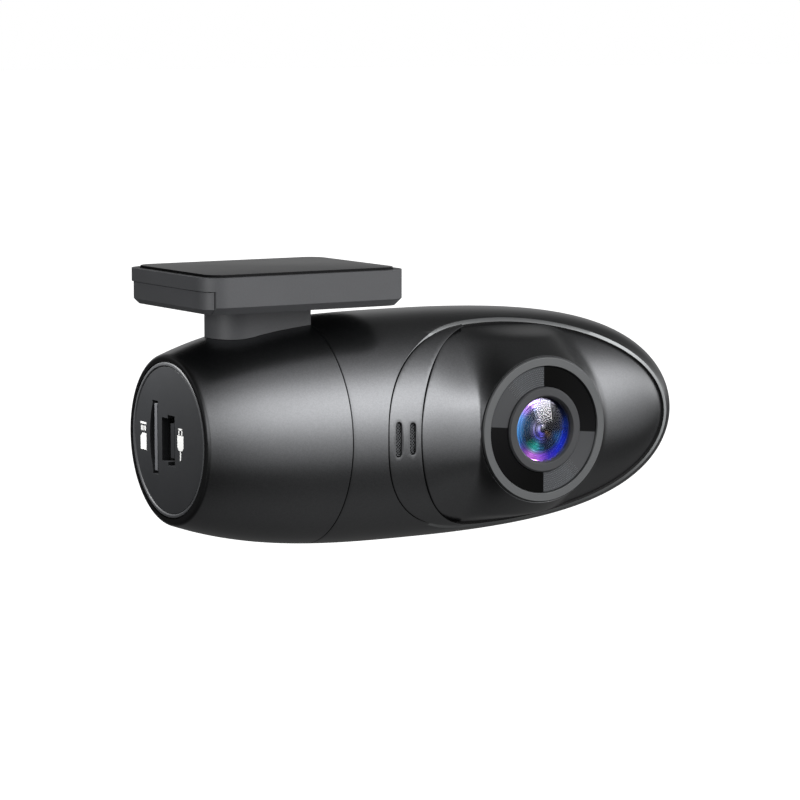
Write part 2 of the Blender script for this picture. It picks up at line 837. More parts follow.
# ---------------- hull
@dataclass
class Hull:
    """The body of revolution that barrel, head, strip and cover share.

    Attributes:
        length: from the port end to the nose.
        radius: at the widest place.
        port_radius: at the port end.
        widest_x: where the hull is widest.
        barrel_power: how late the barrel tapers.
        nose_fullness: how much fuller than an ellipse the nose is.
        wall: of both shells.
        seam_x, seam_gap: the joint between barrel and head.
        port_rounding: of the barrel's end.
        lip: rounding of the edges at the joints.
        rim_width: of the barrel's edge round the port insert.
        key_x, key_hole: place and radius of the key's hole at the back.
        light_x, light_hole: place and radius of the status light's hole.
        rows, segments: of the barrel's mesh along and round.
    """

    length: float
    radius: float
    seam_x: float
    port_radius: float = 13.8
    widest_x: float = 46.0
    barrel_power: float = 3.15
    nose_fullness: float = 0.27
    wall: float = 1.6
    seam_gap: float = 0.15
    port_rounding: float = 0.5
    lip: float = 0.13
    rim_width: float = 1.05
    key_x: float = 12.6
    key_hole: float = 3.12
    light_x: float = 19.0
    light_hole: float = 0.85
    rows: int = 56
    segments: int = 192

    @classmethod
    def from_frame(cls) -> "Hull":
        """The hull's sizes as the frame has them.

        Returns:
            The filled-in class.
        """
        _, nose = AXES.box("head_shell")
        _, barrel = AXES.box("barrel_shell")
        return cls(length=float(nose[0]), radius=float(nose[2]), seam_x=float(barrel[0]))

    def radius_at(self, x: np.ndarray, inset: np.ndarray | float = 0.0) -> np.ndarray:
        """Radius of the surface that lies inset under the hull.

        Args:
            x: places along the hull.
            inset: depth under the outer face.

        Returns:
            The radius at each place.
        """
        x = np.asarray(x, float)
        taper = np.clip((self.widest_x - x) / self.widest_x, 0, 1) ** self.barrel_power
        along = np.clip((x - self.widest_x) / (self.length - inset - self.widest_x), 0, 1)
        nose = np.sqrt(1 - along**2) * (1 + self.nose_fullness * along**2)
        barrel = self.radius - inset - (self.radius - self.port_radius) * taper
        return np.where(x <= self.widest_x, barrel, (self.radius - inset) * nose)

    def front(self, plan: Points, inset: np.ndarray) -> Points:
        """Front surface over an (x, z) plan.

        Args:
            plan: the plan's points.
            inset: depth of each under the outer face.

        Returns:
            The points in space.
        """
        x, z = plan[:, 0], plan[:, 1]
        y = -np.sqrt(np.maximum(self.radius_at(x, inset) ** 2 - z**2, 0.01))
        return np.stack([x, y, z], axis=1)

    @property
    def nose_length(self) -> float:
        """From the widest place to the tip."""
        return self.length - self.widest_x

    def from_nose(self, x: np.ndarray) -> np.ndarray:
        """Way along the surface from the tip, which is the radius in the unrolled plan.

        Args:
            x: places along the hull.

        Returns:
            The way to each.
        """
        x = np.asarray(x, float)
        turn = np.arcsin(np.clip((x - self.widest_x) / self.nose_length, 0, 1))
        beyond = np.where(x > self.widest_x, self.nose_length * turn, x - self.widest_x)
        return self.nose_length * math.pi / 2 - beyond

    def unrolled(self, plan: Points, depth: np.ndarray) -> Points:
        """Surface over the plan that is unrolled from the nose.

        Args:
            plan: the plan's points.
            depth: of each, measured square to the hull.

        Returns:
            The points in space.
        """
        away, side = np.hypot(plan[:, 0], plan[:, 1]), np.arctan2(plan[:, 1], plan[:, 0])
        beyond = self.nose_length * math.pi / 2 - away
        turn = np.maximum(beyond, 0) / self.nose_length
        x = np.where(beyond > 0, self.widest_x + self.nose_length * np.sin(turn), self.widest_x + beyond)
        r = self.radius_at(x)
        bulge = 1 + self.nose_fullness * np.sin(turn) ** 2
        r = np.where(beyond > 0, self.radius * np.cos(turn) * bulge, r)
        slope_x = np.where(beyond > 0, self.nose_length * np.cos(turn), 1.0)
        nose_slope = self.radius * (
            2 * self.nose_fullness * np.sin(turn) * np.cos(turn) ** 2 - np.sin(turn) * bulge
        )
        reach = np.clip((self.widest_x - x) / self.widest_x, 0, 1)
        growth = (self.radius - self.port_radius) * self.barrel_power / self.widest_x
        slope_r = np.where(beyond > 0, nose_slope, growth * reach ** (self.barrel_power - 1))
        size = np.hypot(slope_x, slope_r)
        x, r = x + slope_r / size * depth, r - slope_x / size * depth
        return np.stack([x, -r * np.cos(side), r * np.sin(side)], axis=1)

    def plan_of(self, outline: Points) -> Points:
        """Unrolled plan of an outline on the front of the hull.

        Args:
            outline: its (x, z) points.

        Returns:
            The same points in the unrolled plan.
        """
        side = np.arcsin(np.clip(outline[:, 1] / self.radius_at(outline[:, 0]), -1, 1))
        away = self.from_nose(outline[:, 0])
        return np.stack([away * np.cos(side), away * np.sin(side)], axis=1)

    def build_barrel(self) -> Piece:
        """The fixed half, as a rule: its radius follows x, its wall turns back inside.

        Returns:
            The piece.
        """
        labels = [
            "Port Radius", "Widest Radius", "Widest X", "Taper Power", "Seam X", "Wall", "End Rounding",
            "Key X", "Key Hole", "Light X", "Light Hole",
        ]
        inputs = {label: "NodeSocketFloat" for label in labels}
        inputs |= {"Rows": "NodeSocketInt", "Segments": "NodeSocketInt", "Origin": "NodeSocketVector"}
        tree, given = new_tree("hull_of_revolution", inputs | {"Finish": "NodeSocketMaterial"})
        get = given.outputs
        rows = get["Rows"]
        double = add_node(tree, MATH, {0: rows, 1: 2.0}, operation="MULTIPLY").outputs[0]
        lines = add_node(tree, MATH, {0: double, 1: 1.0}, operation="ADD").outputs[0]
        turns = add_node(tree, MATH, {0: get["Segments"], 1: 1.0}, operation="ADD").outputs[0]
        grid = add_node(tree, "GeometryNodeMeshGrid", {
            "Size X": 1.0, "Size Y": 1.0, "Vertices X": lines, "Vertices Y": turns,
        })
        position = add_node(tree, "GeometryNodeInputPosition").outputs[0]
        spot = add_node(tree, "ShaderNodeSeparateXYZ", {0: position})
        # The grid's first half is the outer wall up to the seam, its second half the inner wall back
        across = add_node(tree, MATH, {0: spot.outputs[0], 1: 0.5}, operation="ADD").outputs[0]
        counted = add_node(tree, MATH, {0: across, 1: double}, operation="MULTIPLY").outputs[0]
        step = add_node(tree, MATH, {0: counted}, operation="ROUND").outputs[0]
        row = add_node(tree, MATH, {0: step, 1: double}, operation="MODULO").outputs[0]
        last = add_node(tree, MATH, {0: double, 1: 1.0}, operation="SUBTRACT").outputs[0]
        mirrored = add_node(tree, MATH, {0: last, 1: row}, operation="SUBTRACT").outputs[0]
        nearest = add_node(tree, MATH, {0: row, 1: mirrored}, operation="MINIMUM").outputs[0]
        rises = add_node(tree, MATH, {0: rows, 1: 1.0}, operation="SUBTRACT").outputs[0]
        share = add_node(tree, MATH, {0: nearest, 1: rises}, operation="DIVIDE").outputs[0]
        eased_share = add_node(tree, MATH, {0: share, 1: share}, operation="MULTIPLY").outputs[0]
        x = add_node(tree, MATH, {0: eased_share, 1: get["Seam X"]}, operation="MULTIPLY").outputs[0]
        # The radius grows from the port end by a power of the way that is left to the widest place
        left = add_node(tree, MATH, {0: get["Widest X"], 1: x}, operation="SUBTRACT").outputs[0]
        behind = add_node(tree, MATH, {0: left, 1: get["Widest X"]}, operation="DIVIDE").outputs[0]
        taper = add_node(tree, MATH, {0: behind, 1: get["Taper Power"]}, operation="POWER").outputs[0]
        widest, rounding = get["Widest Radius"], get["End Rounding"]
        growth = add_node(tree, MATH, {0: widest, 1: get["Port Radius"]}, operation="SUBTRACT").outputs[0]
        loss = add_node(tree, MATH, {0: growth, 1: taper}, operation="MULTIPLY").outputs[0]
        outer = add_node(tree, MATH, {0: widest, 1: loss}, operation="SUBTRACT").outputs[0]
        # A quarter circle rounds the edge at the port end
        before = add_node(tree, MATH, {0: rounding, 1: x}, operation="SUBTRACT").outputs[0]
        corner = add_node(tree, MATH, {0: before, 1: 0.0}, operation="MAXIMUM").outputs[0]
        square = add_node(tree, MATH, {0: rounding, 1: rounding}, operation="MULTIPLY").outputs[0]
        corner_square = add_node(tree, MATH, {0: corner, 1: corner}, operation="MULTIPLY").outputs[0]
        rest = add_node(tree, MATH, {0: square, 1: corner_square}, operation="SUBTRACT").outputs[0]
        arched = add_node(tree, MATH, {0: rest}, operation="SQRT").outputs[0]
        drop = add_node(tree, MATH, {0: rounding, 1: arched}, operation="SUBTRACT").outputs[0]
        eased = add_node(tree, MATH, {0: outer, 1: drop}, operation="SUBTRACT").outputs[0]
        inner = add_node(tree, MATH, {0: outer, 1: get["Wall"]}, operation="SUBTRACT").outputs[0]
        edge_row = add_node(tree, MATH, {0: rows, 1: 0.5}, operation="SUBTRACT").outputs[0]
        within = add_node(tree, MATH, {0: row, 1: edge_row}, operation="GREATER_THAN").outputs[0]
        radius = add_node(
            tree, "GeometryNodeSwitch", {"Switch": within, "False": eased, "True": inner}, input_type="FLOAT"
        ).outputs[0]
        turn = add_node(tree, MATH, {0: spot.outputs[1], 1: 2 * math.pi}, operation="MULTIPLY").outputs[0]
        cosine = add_node(tree, MATH, {0: turn}, operation="COSINE").outputs[0]
        sine = add_node(tree, MATH, {0: turn}, operation="SINE").outputs[0]
        y = add_node(tree, MATH, {0: radius, 1: cosine}, operation="MULTIPLY").outputs[0]
        z = add_node(tree, MATH, {0: radius, 1: sine}, operation="MULTIPLY").outputs[0]
        place = add_node(tree, "ShaderNodeCombineXYZ", {0: x, 1: y, 2: z}).outputs[0]
        shaped = add_node(tree, "GeometryNodeSetPosition", {0: grid.outputs[0], "Position": place}).outputs[0]
        merged = add_node(tree, "GeometryNodeMergeByDistance", {0: shaped, "Distance": 1e-6}).outputs[0]
        drills = []
        for across, hole in (("Key X", "Key Hole"), ("Light X", "Light Hole")):
            rod = add_node(tree, "GeometryNodeMeshCylinder", {
                "Vertices": 64, "Radius": get[hole], "Depth": widest,
            })
            spot_y = add_node(tree, "ShaderNodeCombineXYZ", {0: get[across], 1: widest, 2: 0.0})
            drills.append(add_node(tree, TRANSFORM, {
                0: rod.outputs[0], "Translation": spot_y.outputs[0], "Rotation": (math.pi / 2, 0, 0),
            }).outputs[0])
        both = add_node(tree, "GeometryNodeJoinGeometry")
        for drill in drills:
            tree.links.new(drill, both.inputs[0])
        cut = add_node(tree, "GeometryNodeMeshBoolean", {
            0: merged, 1: both.outputs[0],
        }, operation="DIFFERENCE")
        moved = add_node(tree, TRANSFORM, {0: cut.outputs[0], "Translation": get["Origin"]})
        end_tree(tree, moved.outputs[0], get["Finish"])
        piece = empty_piece("barrel_shell_sprayed")
        sizes = dict(zip(labels, (
            self.port_radius, self.radius, self.widest_x, self.barrel_power / MM, self.seam_x, self.rim_width,
            self.port_rounding, self.key_x, self.key_hole, self.light_x, self.light_hole,
        )))
        values = {label: size * MM for label, size in sizes.items()}
        values |= {"Rows": self.rows, "Segments": self.segments, "Finish": HULL.build()}
        values["Origin"] = tuple(AXES.place((0, 0, 0)))
        apply_tree(piece, tree, values)
        soften(piece, self.lip, limit=50)
        return settle(piece, "camera_body", ["barrel_shell"])


def soften(piece: Piece, width: float, limit: float = 35.0, segments: int = 2) -> None:
    """Adds a small rounding to a piece's crisp edges.

    Args:
        piece: the piece.
        width: of the rounding in millimetres.
        limit: edges that turn by more than this many degrees are rounded.
        segments: across the rounding.
    """
    bevel = piece.modifiers.new("edge_rounding", "BEVEL")
    bevel.width, bevel.segments = width * MM, segments
    bevel.limit_method, bevel.angle_limit = "ANGLE", math.radians(limit)
    bevel.harden_normals, bevel.use_clamp_overlap = True, True


@dataclass
class Head:
    """Turning half: shell with the egg-shaped opening, crescent strip with two slots, and lens cover.

    Attributes:
        opening_left_x, opening_wide_x, opening_right_x, half_height, opening_power: the opening's egg.
        cover_left_x, cover_power: the cover's left end, an egg inside the first.
        line: gap between strip, cover and shell.
        recess, recess_span: how low the cover lies towards the nose, and where it sinks.
        rim_bevel, rim_least: the bright bevel, and its share beside the strip.
        boss_base_radius, boss_wall, boss_depth, boss_lip: the cone round the lens ring.
        boss_blend, blend_least, blend_fade: how softly it meets the cover, and where that is sharper.
        swell, swell_fade: the cover's rise on the boss's left, and where it ends above and below.
        rim_fade: half heights between which the boss flattens towards the rim.
        shell_spacing, strip_spacing, cover_spacing: of the mesh's points.
        thread_points to weave_overlap: the acoustic mesh.
    """

    hull: Hull
    opening_left_x: float = 30.05
    opening_wide_x: float = 56.0
    opening_right_x: float = 91.2
    half_height: float = 17.3
    opening_power: float = 2.35
    cover_left_x: float = 36.2
    cover_power: float = 2.1
    line: float = 0.15
    recess: float = 0.7
    recess_span: tuple[float, float] = (38.0, 50.0)
    rim_bevel: float = 0.34
    strip_wall: float = 1.4
    strip_tip: float = 0.22
    mesh_depth: float = 0.5
    cover_wall: float = 1.8
    slot_x: float = 32.1
    slot_pitch: float = 2.6
    slot_width: float = 1.0
    slot_lengths: tuple[float, float] = (5.7, 5.2)
    slot_rounding: float = 0.16
    boss_base_radius: float = 16.0
    boss_wall: float = 0.12
    boss_depth: float = 7.0
    boss_lip: float = 0.45
    boss_blend: float = 2.6
    swell: float = 1.45
    rim_fade: tuple[float, float] = (14.6, 16.9)
    rim_least: float = 0.14
    blend_least: float = 0.12
    blend_fade: tuple[float, float] = (1.0, 10.0)
    swell_fade: tuple[float, float] = (4.0, 14.0)
    shell_spacing: float = 0.9
    strip_spacing: float = 0.5
    cover_spacing: float = 0.42
    loop_points: int = 420
    thread_points: int = 90
    thread_radius: float = 0.075
    thread_pitch: float = 0.36
    thread_wave: float = 0.05
    weave_height: float = 7.6
    weave_overlap: float = 0.04

    def egg(self, left_x: float, power: float, inset: float = 0.0) -> Points:
        """Egg outline in (x, z): a superellipse to the left, an ellipse to the right.

        Args:
            left_x: its left end.
            power: of the superellipse.
            inset: how far inside the full egg.

        Returns:
            The outline's points.
        """
        turn = np.linspace(0, 2 * math.pi, self.loop_points, endpoint=False)
        across, up = np.cos(turn), np.sin(turn)
        left = self.opening_wide_x - left_x - inset
        right = self.opening_right_x - self.opening_wide_x - inset
        height = self.half_height - inset
        bent = np.abs(across) ** (2 / power), np.sign(up) * np.abs(up) ** (2 / power)
        x = np.where(across < 0, -left * bent[0], right * across)
        z = height * np.where(across < 0, bent[1], up)
        return np.stack([self.opening_wide_x + x, z], axis=1)

    def height_at(self, x: np.ndarray, left_x: float, power: float) -> np.ndarray:
        """Half height of an egg outline's left part.

        Args:
            x: places along it.
            left_x: its left end.
            power: of the superellipse.

        Returns:
            The half height at each place.
        """
        share = (self.opening_wide_x - x) / (self.opening_wide_x - left_x)
        return self.half_height * (1 - share**power) ** (1 / power)

    def left_arc(self, left_x: float, power: float, inset: float, end_x: float) -> Points:
        """Left end of an egg outline.

        Args:
            left_x: its left end.
            power: of the superellipse.
            inset: how far inside the full egg.
            end_x: where it starts at the top and ends at the bottom.

        Returns:
            The points in order.
        """
        left, height = self.opening_wide_x - left_x - inset, self.half_height - inset
        last = math.acos(((self.opening_wide_x - end_x) / left) ** (power / 2))
        turn = np.linspace(last, -last, self.loop_points // 2)
        x = self.opening_wide_x - left * np.cos(turn) ** (2 / power)
        z = height * np.sign(turn) * np.abs(np.sin(turn)) ** (2 / power)
        return np.stack([x, z], axis=1)

    def bevel_share(self, x: np.ndarray) -> np.ndarray:
        """How much of the rim's bevel there is: none at the strip, all of it where the cover lies low."""
        start, end = self.recess_span
        return self.rim_least + (1 - self.rim_least) * smoothstep(start, end - 3, x)

    def build_shell(self) -> Piece:
        """Head shell with the bright bevel round its opening.

        Returns:
            The piece.
        """
        hull = self.hull
        edge = self.egg(self.opening_left_x, self.opening_power)
        share = self.bevel_share(edge[:, 0])
        wide = self.egg(self.opening_left_x, self.opening_power, -self.rim_bevel)
        outer = edge + (wide - edge) * share[:, None]
        opening = [
            (hull.plan_of(edge), self.rim_bevel * 0.9 * share),
            (hull.plan_of(outer), np.zeros(len(outer))),
        ]
        start = hull.seam_x + hull.seam_gap
        seam = []
        ring = unit_circle(hull.segments)
        for i in range(4):
            turn = math.pi / 2 * i / 3
            away = hull.from_nose(start + hull.lip * (1 - math.cos(turn)))
            seam.append((ring * float(away), hull.lip * (1 - math.sin(turn))))
        step = self.shell_spacing
        stations = np.arange(start + step, hull.widest_x, step)
        beyond = np.arange(float(hull.from_nose(hull.widest_x)), 1.0, -step)
        aways = np.concatenate([hull.from_nose(stations), beyond])
        grid = [np.zeros((1, 2))]
        for away in aways:
            # Fewer points round the hull as the rings grow small towards the tip
            thin = 1 if away > 22 else 2 if away > 9 else 4 if away > 4 else 12
            grid.append(ring[::thin] * away)
        grid = np.concatenate(grid)
        grid = grid[~inside(grid, opening[1][0]) & clear_of(grid, [opening[1][0]], 0.55)]
        piece = make_skin(
            "head_shell_sprayed", [seam, opening], grid, hull.unrolled, hull.wall, [HULL, RIM, GAP], 0.2
        )
        return settle(piece, "lens_head", ["head_shell"])

    def build_strip(self) -> Piece:
        """Crescent strip, flush with the hull, with two round-ended slots.

        Returns:
            The piece.
        """
        stations = np.linspace(self.cover_left_x + 1, self.opening_wide_x - 1, 200)
        widths = self.height_at(stations, self.opening_left_x, self.opening_power)
        widths -= self.height_at(stations, self.cover_left_x, self.cover_power)
        end_x = float(stations[widths > self.strip_tip + self.line][-1])
        outer = self.left_arc(self.opening_left_x, self.opening_power, self.line, end_x)
        inner = self.left_arc(self.cover_left_x, self.cover_power, 0.0, end_x)[::-1]
        loop = np.concatenate([outer, inner])
        borders = [rounded_rows(loop, 0.1)]
        for i, length in enumerate(self.slot_lengths):
            slot = self.slot_loop(self.slot_x + i * self.slot_pitch, length)
            borders.append(rounded_rows(slot, self.slot_rounding, True))
        holes = [rows[-1][0] for rows in borders[1:]]
        grid = hex_grid(borders[0][-1][0], holes, self.strip_spacing)
        piece = make_skin(
            "mic_strip_sprayed", borders, grid, self.hull.front, self.strip_wall, [HULL, HULL, GAP]
        )
        return settle(piece, "lens_head", ["mic_strip"])

    def slot_loop(self, x: float, length: float) -> Points:
        """Round-ended slot in (x, z), upright.

        Args:
            x: its middle.
            length: over both ends.

        Returns:
            The loop's points.
        """
        radius = self.slot_width / 2
        half = length / 2 - radius
        return np.array(arc((x, half), radius, 0, 180, 14) + arc((x, -half), radius, 180, 360, 14))

    def cover_surface(self, plan: Points, depth: np.ndarray) -> Points:
        """Cover's surface: flush at its left end, low towards the nose, swept up to the conical boss.

        Args:
            plan: (x, z) points.
            depth: of each under the outer face.

        Returns:
            The points in space.
        """
        sunk = self.recess * smoothstep(self.recess_span[0], self.recess_span[1], plan[:, 0])
        low, high = AXES.box("lens_ring")
        lens_x = (low[0] + high[0]) / 2
        beside = smoothstep(self.cover_left_x, lens_x - high[2], plan[:, 0]) * (plan[:, 0] < lens_x)
        swollen = self.swell * beside * (1 - smoothstep(*self.swell_fade, np.abs(plan[:, 1])))
        base = self.hull.front(plan, sunk + depth)[:, 1] - swollen
        away = np.hypot(plan[:, 0] - lens_x, plan[:, 1])
        tip_y, tip_radius = low[1] + self.boss_lip, high[2] + self.boss_wall
        rise = np.maximum(away - tip_radius, 0) / (self.boss_base_radius - tip_radius)
        cone = tip_y + self.boss_depth * rise + depth
        blend = np.where(plan[:, 0] < lens_x, smoothstep(*self.blend_fade, np.abs(plan[:, 1])), 1.0)
        blend = self.boss_blend * (self.blend_least + (1 - self.blend_least) * blend)
        mix = np.clip(0.5 + 0.5 * (base - cone) / blend, 0, 1)
        raised = (cone - base) * mix - blend * mix * (1 - mix)
        y = base + raised * (1 - smoothstep(*self.rim_fade, np.abs(plan[:, 1])))
        return np.stack([plan[:, 0], np.maximum(y, tip_y + depth), plan[:, 1]], axis=1)

    def build_cover(self) -> Piece:
        """Lens cover with its boss.

        Returns:
            The piece.
        """
        low, high = AXES.box("lens_ring")
        lens_x, ring_radius = (low[0] + high[0]) / 2, float(high[2])
        circle = unit_circle(240)
        hole = circle * (ring_radius + 0.03) + (lens_x, 0)
        tip = ring_radius + self.boss_wall
        circles = [(circle * (tip + away) + (lens_x, 0), 0.0) for away in (0, 0.15, 0.4, 0.75)]
        borders = [
            rounded_rows(self.egg(self.cover_left_x, self.cover_power, self.line), 0.12),
            rounded_rows(hole, 0.05, True) + circles,
        ]
        grid = hex_grid(borders[0][-1][0], [borders[1][-1][0]], self.cover_spacing)
        piece = make_skin(
            "lens_cover_sprayed", borders, grid, self.cover_surface, self.cover_wall, [HULL, HULL, GAP]
        )
        return settle(piece, "lens_head", ["lens_cover"])

    def build_mesh(self) -> Piece:
        """Woven acoustic mesh behind the slots: two sets of threads over and under each other.

        Returns:
            The piece.
        """
        labels = {"Thread": "NodeSocketFloat", "Pitch": "NodeSocketFloat", "Height": "NodeSocketFloat",
                  "Wave": "NodeSocketFloat", "Finish": "NodeSocketMaterial"}
        tree, given = new_tree("diagonal_weave", labels)
        get = given.outputs
        sets = add_node(tree, "GeometryNodeJoinGeometry")
        reach = add_node(tree, MATH, {0: get["Height"], 1: 1.6}, operation="MULTIPLY").outputs[0]
        count = add_node(tree, MATH, {0: reach, 1: get["Pitch"]}, operation="DIVIDE").outputs[0]
        first = add_node(tree, MATH, {0: reach, 1: -0.5}, operation="MULTIPLY").outputs[0]
        start = add_node(tree, "ShaderNodeCombineXYZ", {2: first}).outputs[0]
        spacing = add_node(tree, "ShaderNodeCombineXYZ", {2: get["Pitch"]}).outputs[0]
        for side in (-1.0, 1.0):
            line = add_node(tree, "GeometryNodeMeshLine", {"Count": self.thread_points, "Offset": (0, 0, 0)})
            number = add_node(tree, "GeometryNodeInputIndex").outputs[0]
            last = self.thread_points - 1.0
            share = add_node(tree, MATH, {0: number, 1: last}, operation="DIVIDE").outputs[0]
            centred = add_node(tree, MATH, {0: share, 1: 0.5}, operation="SUBTRACT").outputs[0]
            along = add_node(tree, MATH, {0: centred, 1: reach}, operation="MULTIPLY").outputs[0]
            crossings = add_node(tree, MATH, {0: along, 1: get["Pitch"]}, operation="DIVIDE").outputs[0]
            phase = add_node(tree, MATH, {0: crossings, 1: math.pi}, operation="MULTIPLY").outputs[0]
            wave = add_node(tree, MATH, {0: get["Wave"], 1: side}, operation="MULTIPLY").outputs[0]
            sine = add_node(tree, MATH, {0: phase}, operation="SINE").outputs[0]
            lift = add_node(tree, MATH, {0: sine, 1: wave}, operation="MULTIPLY").outputs[0]
            place = add_node(tree, "ShaderNodeCombineXYZ", {0: along, 1: lift, 2: 0.0}).outputs[0]
            wavy = add_node(tree, "GeometryNodeSetPosition", {0: line.outputs[0], "Position": place})
            curve = add_node(tree, "GeometryNodeMeshToCurve", {0: wavy.outputs[0]}).outputs[0]
            ring = add_node(tree, "GeometryNodeCurvePrimitiveCircle", {
                "Resolution": 6, "Radius": get["Thread"],
            })
            thread = add_node(tree, "GeometryNodeCurveToMesh", {0: curve, 1: ring.outputs[0]}).outputs[0]
            rows = add_node(tree, "GeometryNodeMeshLine", {
                "Count": count, "Start Location": start, "Offset": spacing,
            })
            placed = add_node(tree, "GeometryNodeInstanceOnPoints", {0: rows.outputs[0], "Instance": thread})
            turned = add_node(tree, TRANSFORM, {
                0: placed.outputs[0], "Rotation": (0, side * math.pi / 4, 0),
            })
            tree.links.new(turned.outputs[0], sets.inputs[0])
        end_tree(tree, sets.outputs[0], get["Finish"])
        piece = empty_piece("slot_mesh_woven")
        apply_tree(piece, tree, {
            "Thread": self.thread_radius * MM, "Pitch": self.thread_pitch * MM,
            "Height": self.weave_height * MM, "Wave": self.thread_wave * MM, "Finish": CLOTH.build(),
        })
        self.fit_weave(piece)
        return settle(piece, "lens_head", ["slot_mesh"])

    def fit_weave(self, piece: Piece) -> None:
        """Trims the weave to a patch for each slot and lays it just under the strip's face.

        Args:
            piece: the flat weave, which is replaced by its two patches.
        """
        weave = piece.data
        joined = bmesh.new()
        for i, length in enumerate(self.slot_lengths):
            patch = bmesh.new()
            patch.from_mesh(weave)
            centre_x = self.slot_x + i * self.slot_pitch
            sides = (((1, 0, 0), self.slot_width / 2), ((-1, 0, 0), self.slot_width / 2),
                     ((0, 0, 1), length / 2 - 0.1), ((0, 0, -1), length / 2 - 0.1))
            for normal, reach in sides:
                geom = patch.verts[:] + patch.edges[:] + patch.faces[:]
                bmesh.ops.bisect_plane(
                    patch, geom=geom, plane_co=Vector(normal) * (reach - self.weave_overlap) * MM,
                    plane_no=normal, clear_outer=True,
                )
            bmesh.ops.holes_fill(patch, edges=[e for e in patch.edges if e.is_boundary], sides=8)
            for vert in patch.verts:
                plan = np.array([[vert.co.x / MM + centre_x, vert.co.z / MM]])
                base = self.hull.front(plan, np.array([self.mesh_depth]))[0]
                vert.co = AXES.place(base + (0, vert.co.y / MM, 0))
            mesh = bpy.data.meshes.new("weave_patch")
            patch.to_mesh(mesh)
            patch.free()
            joined.from_mesh(mesh)
        joined.to_mesh(weave)
        joined.free()


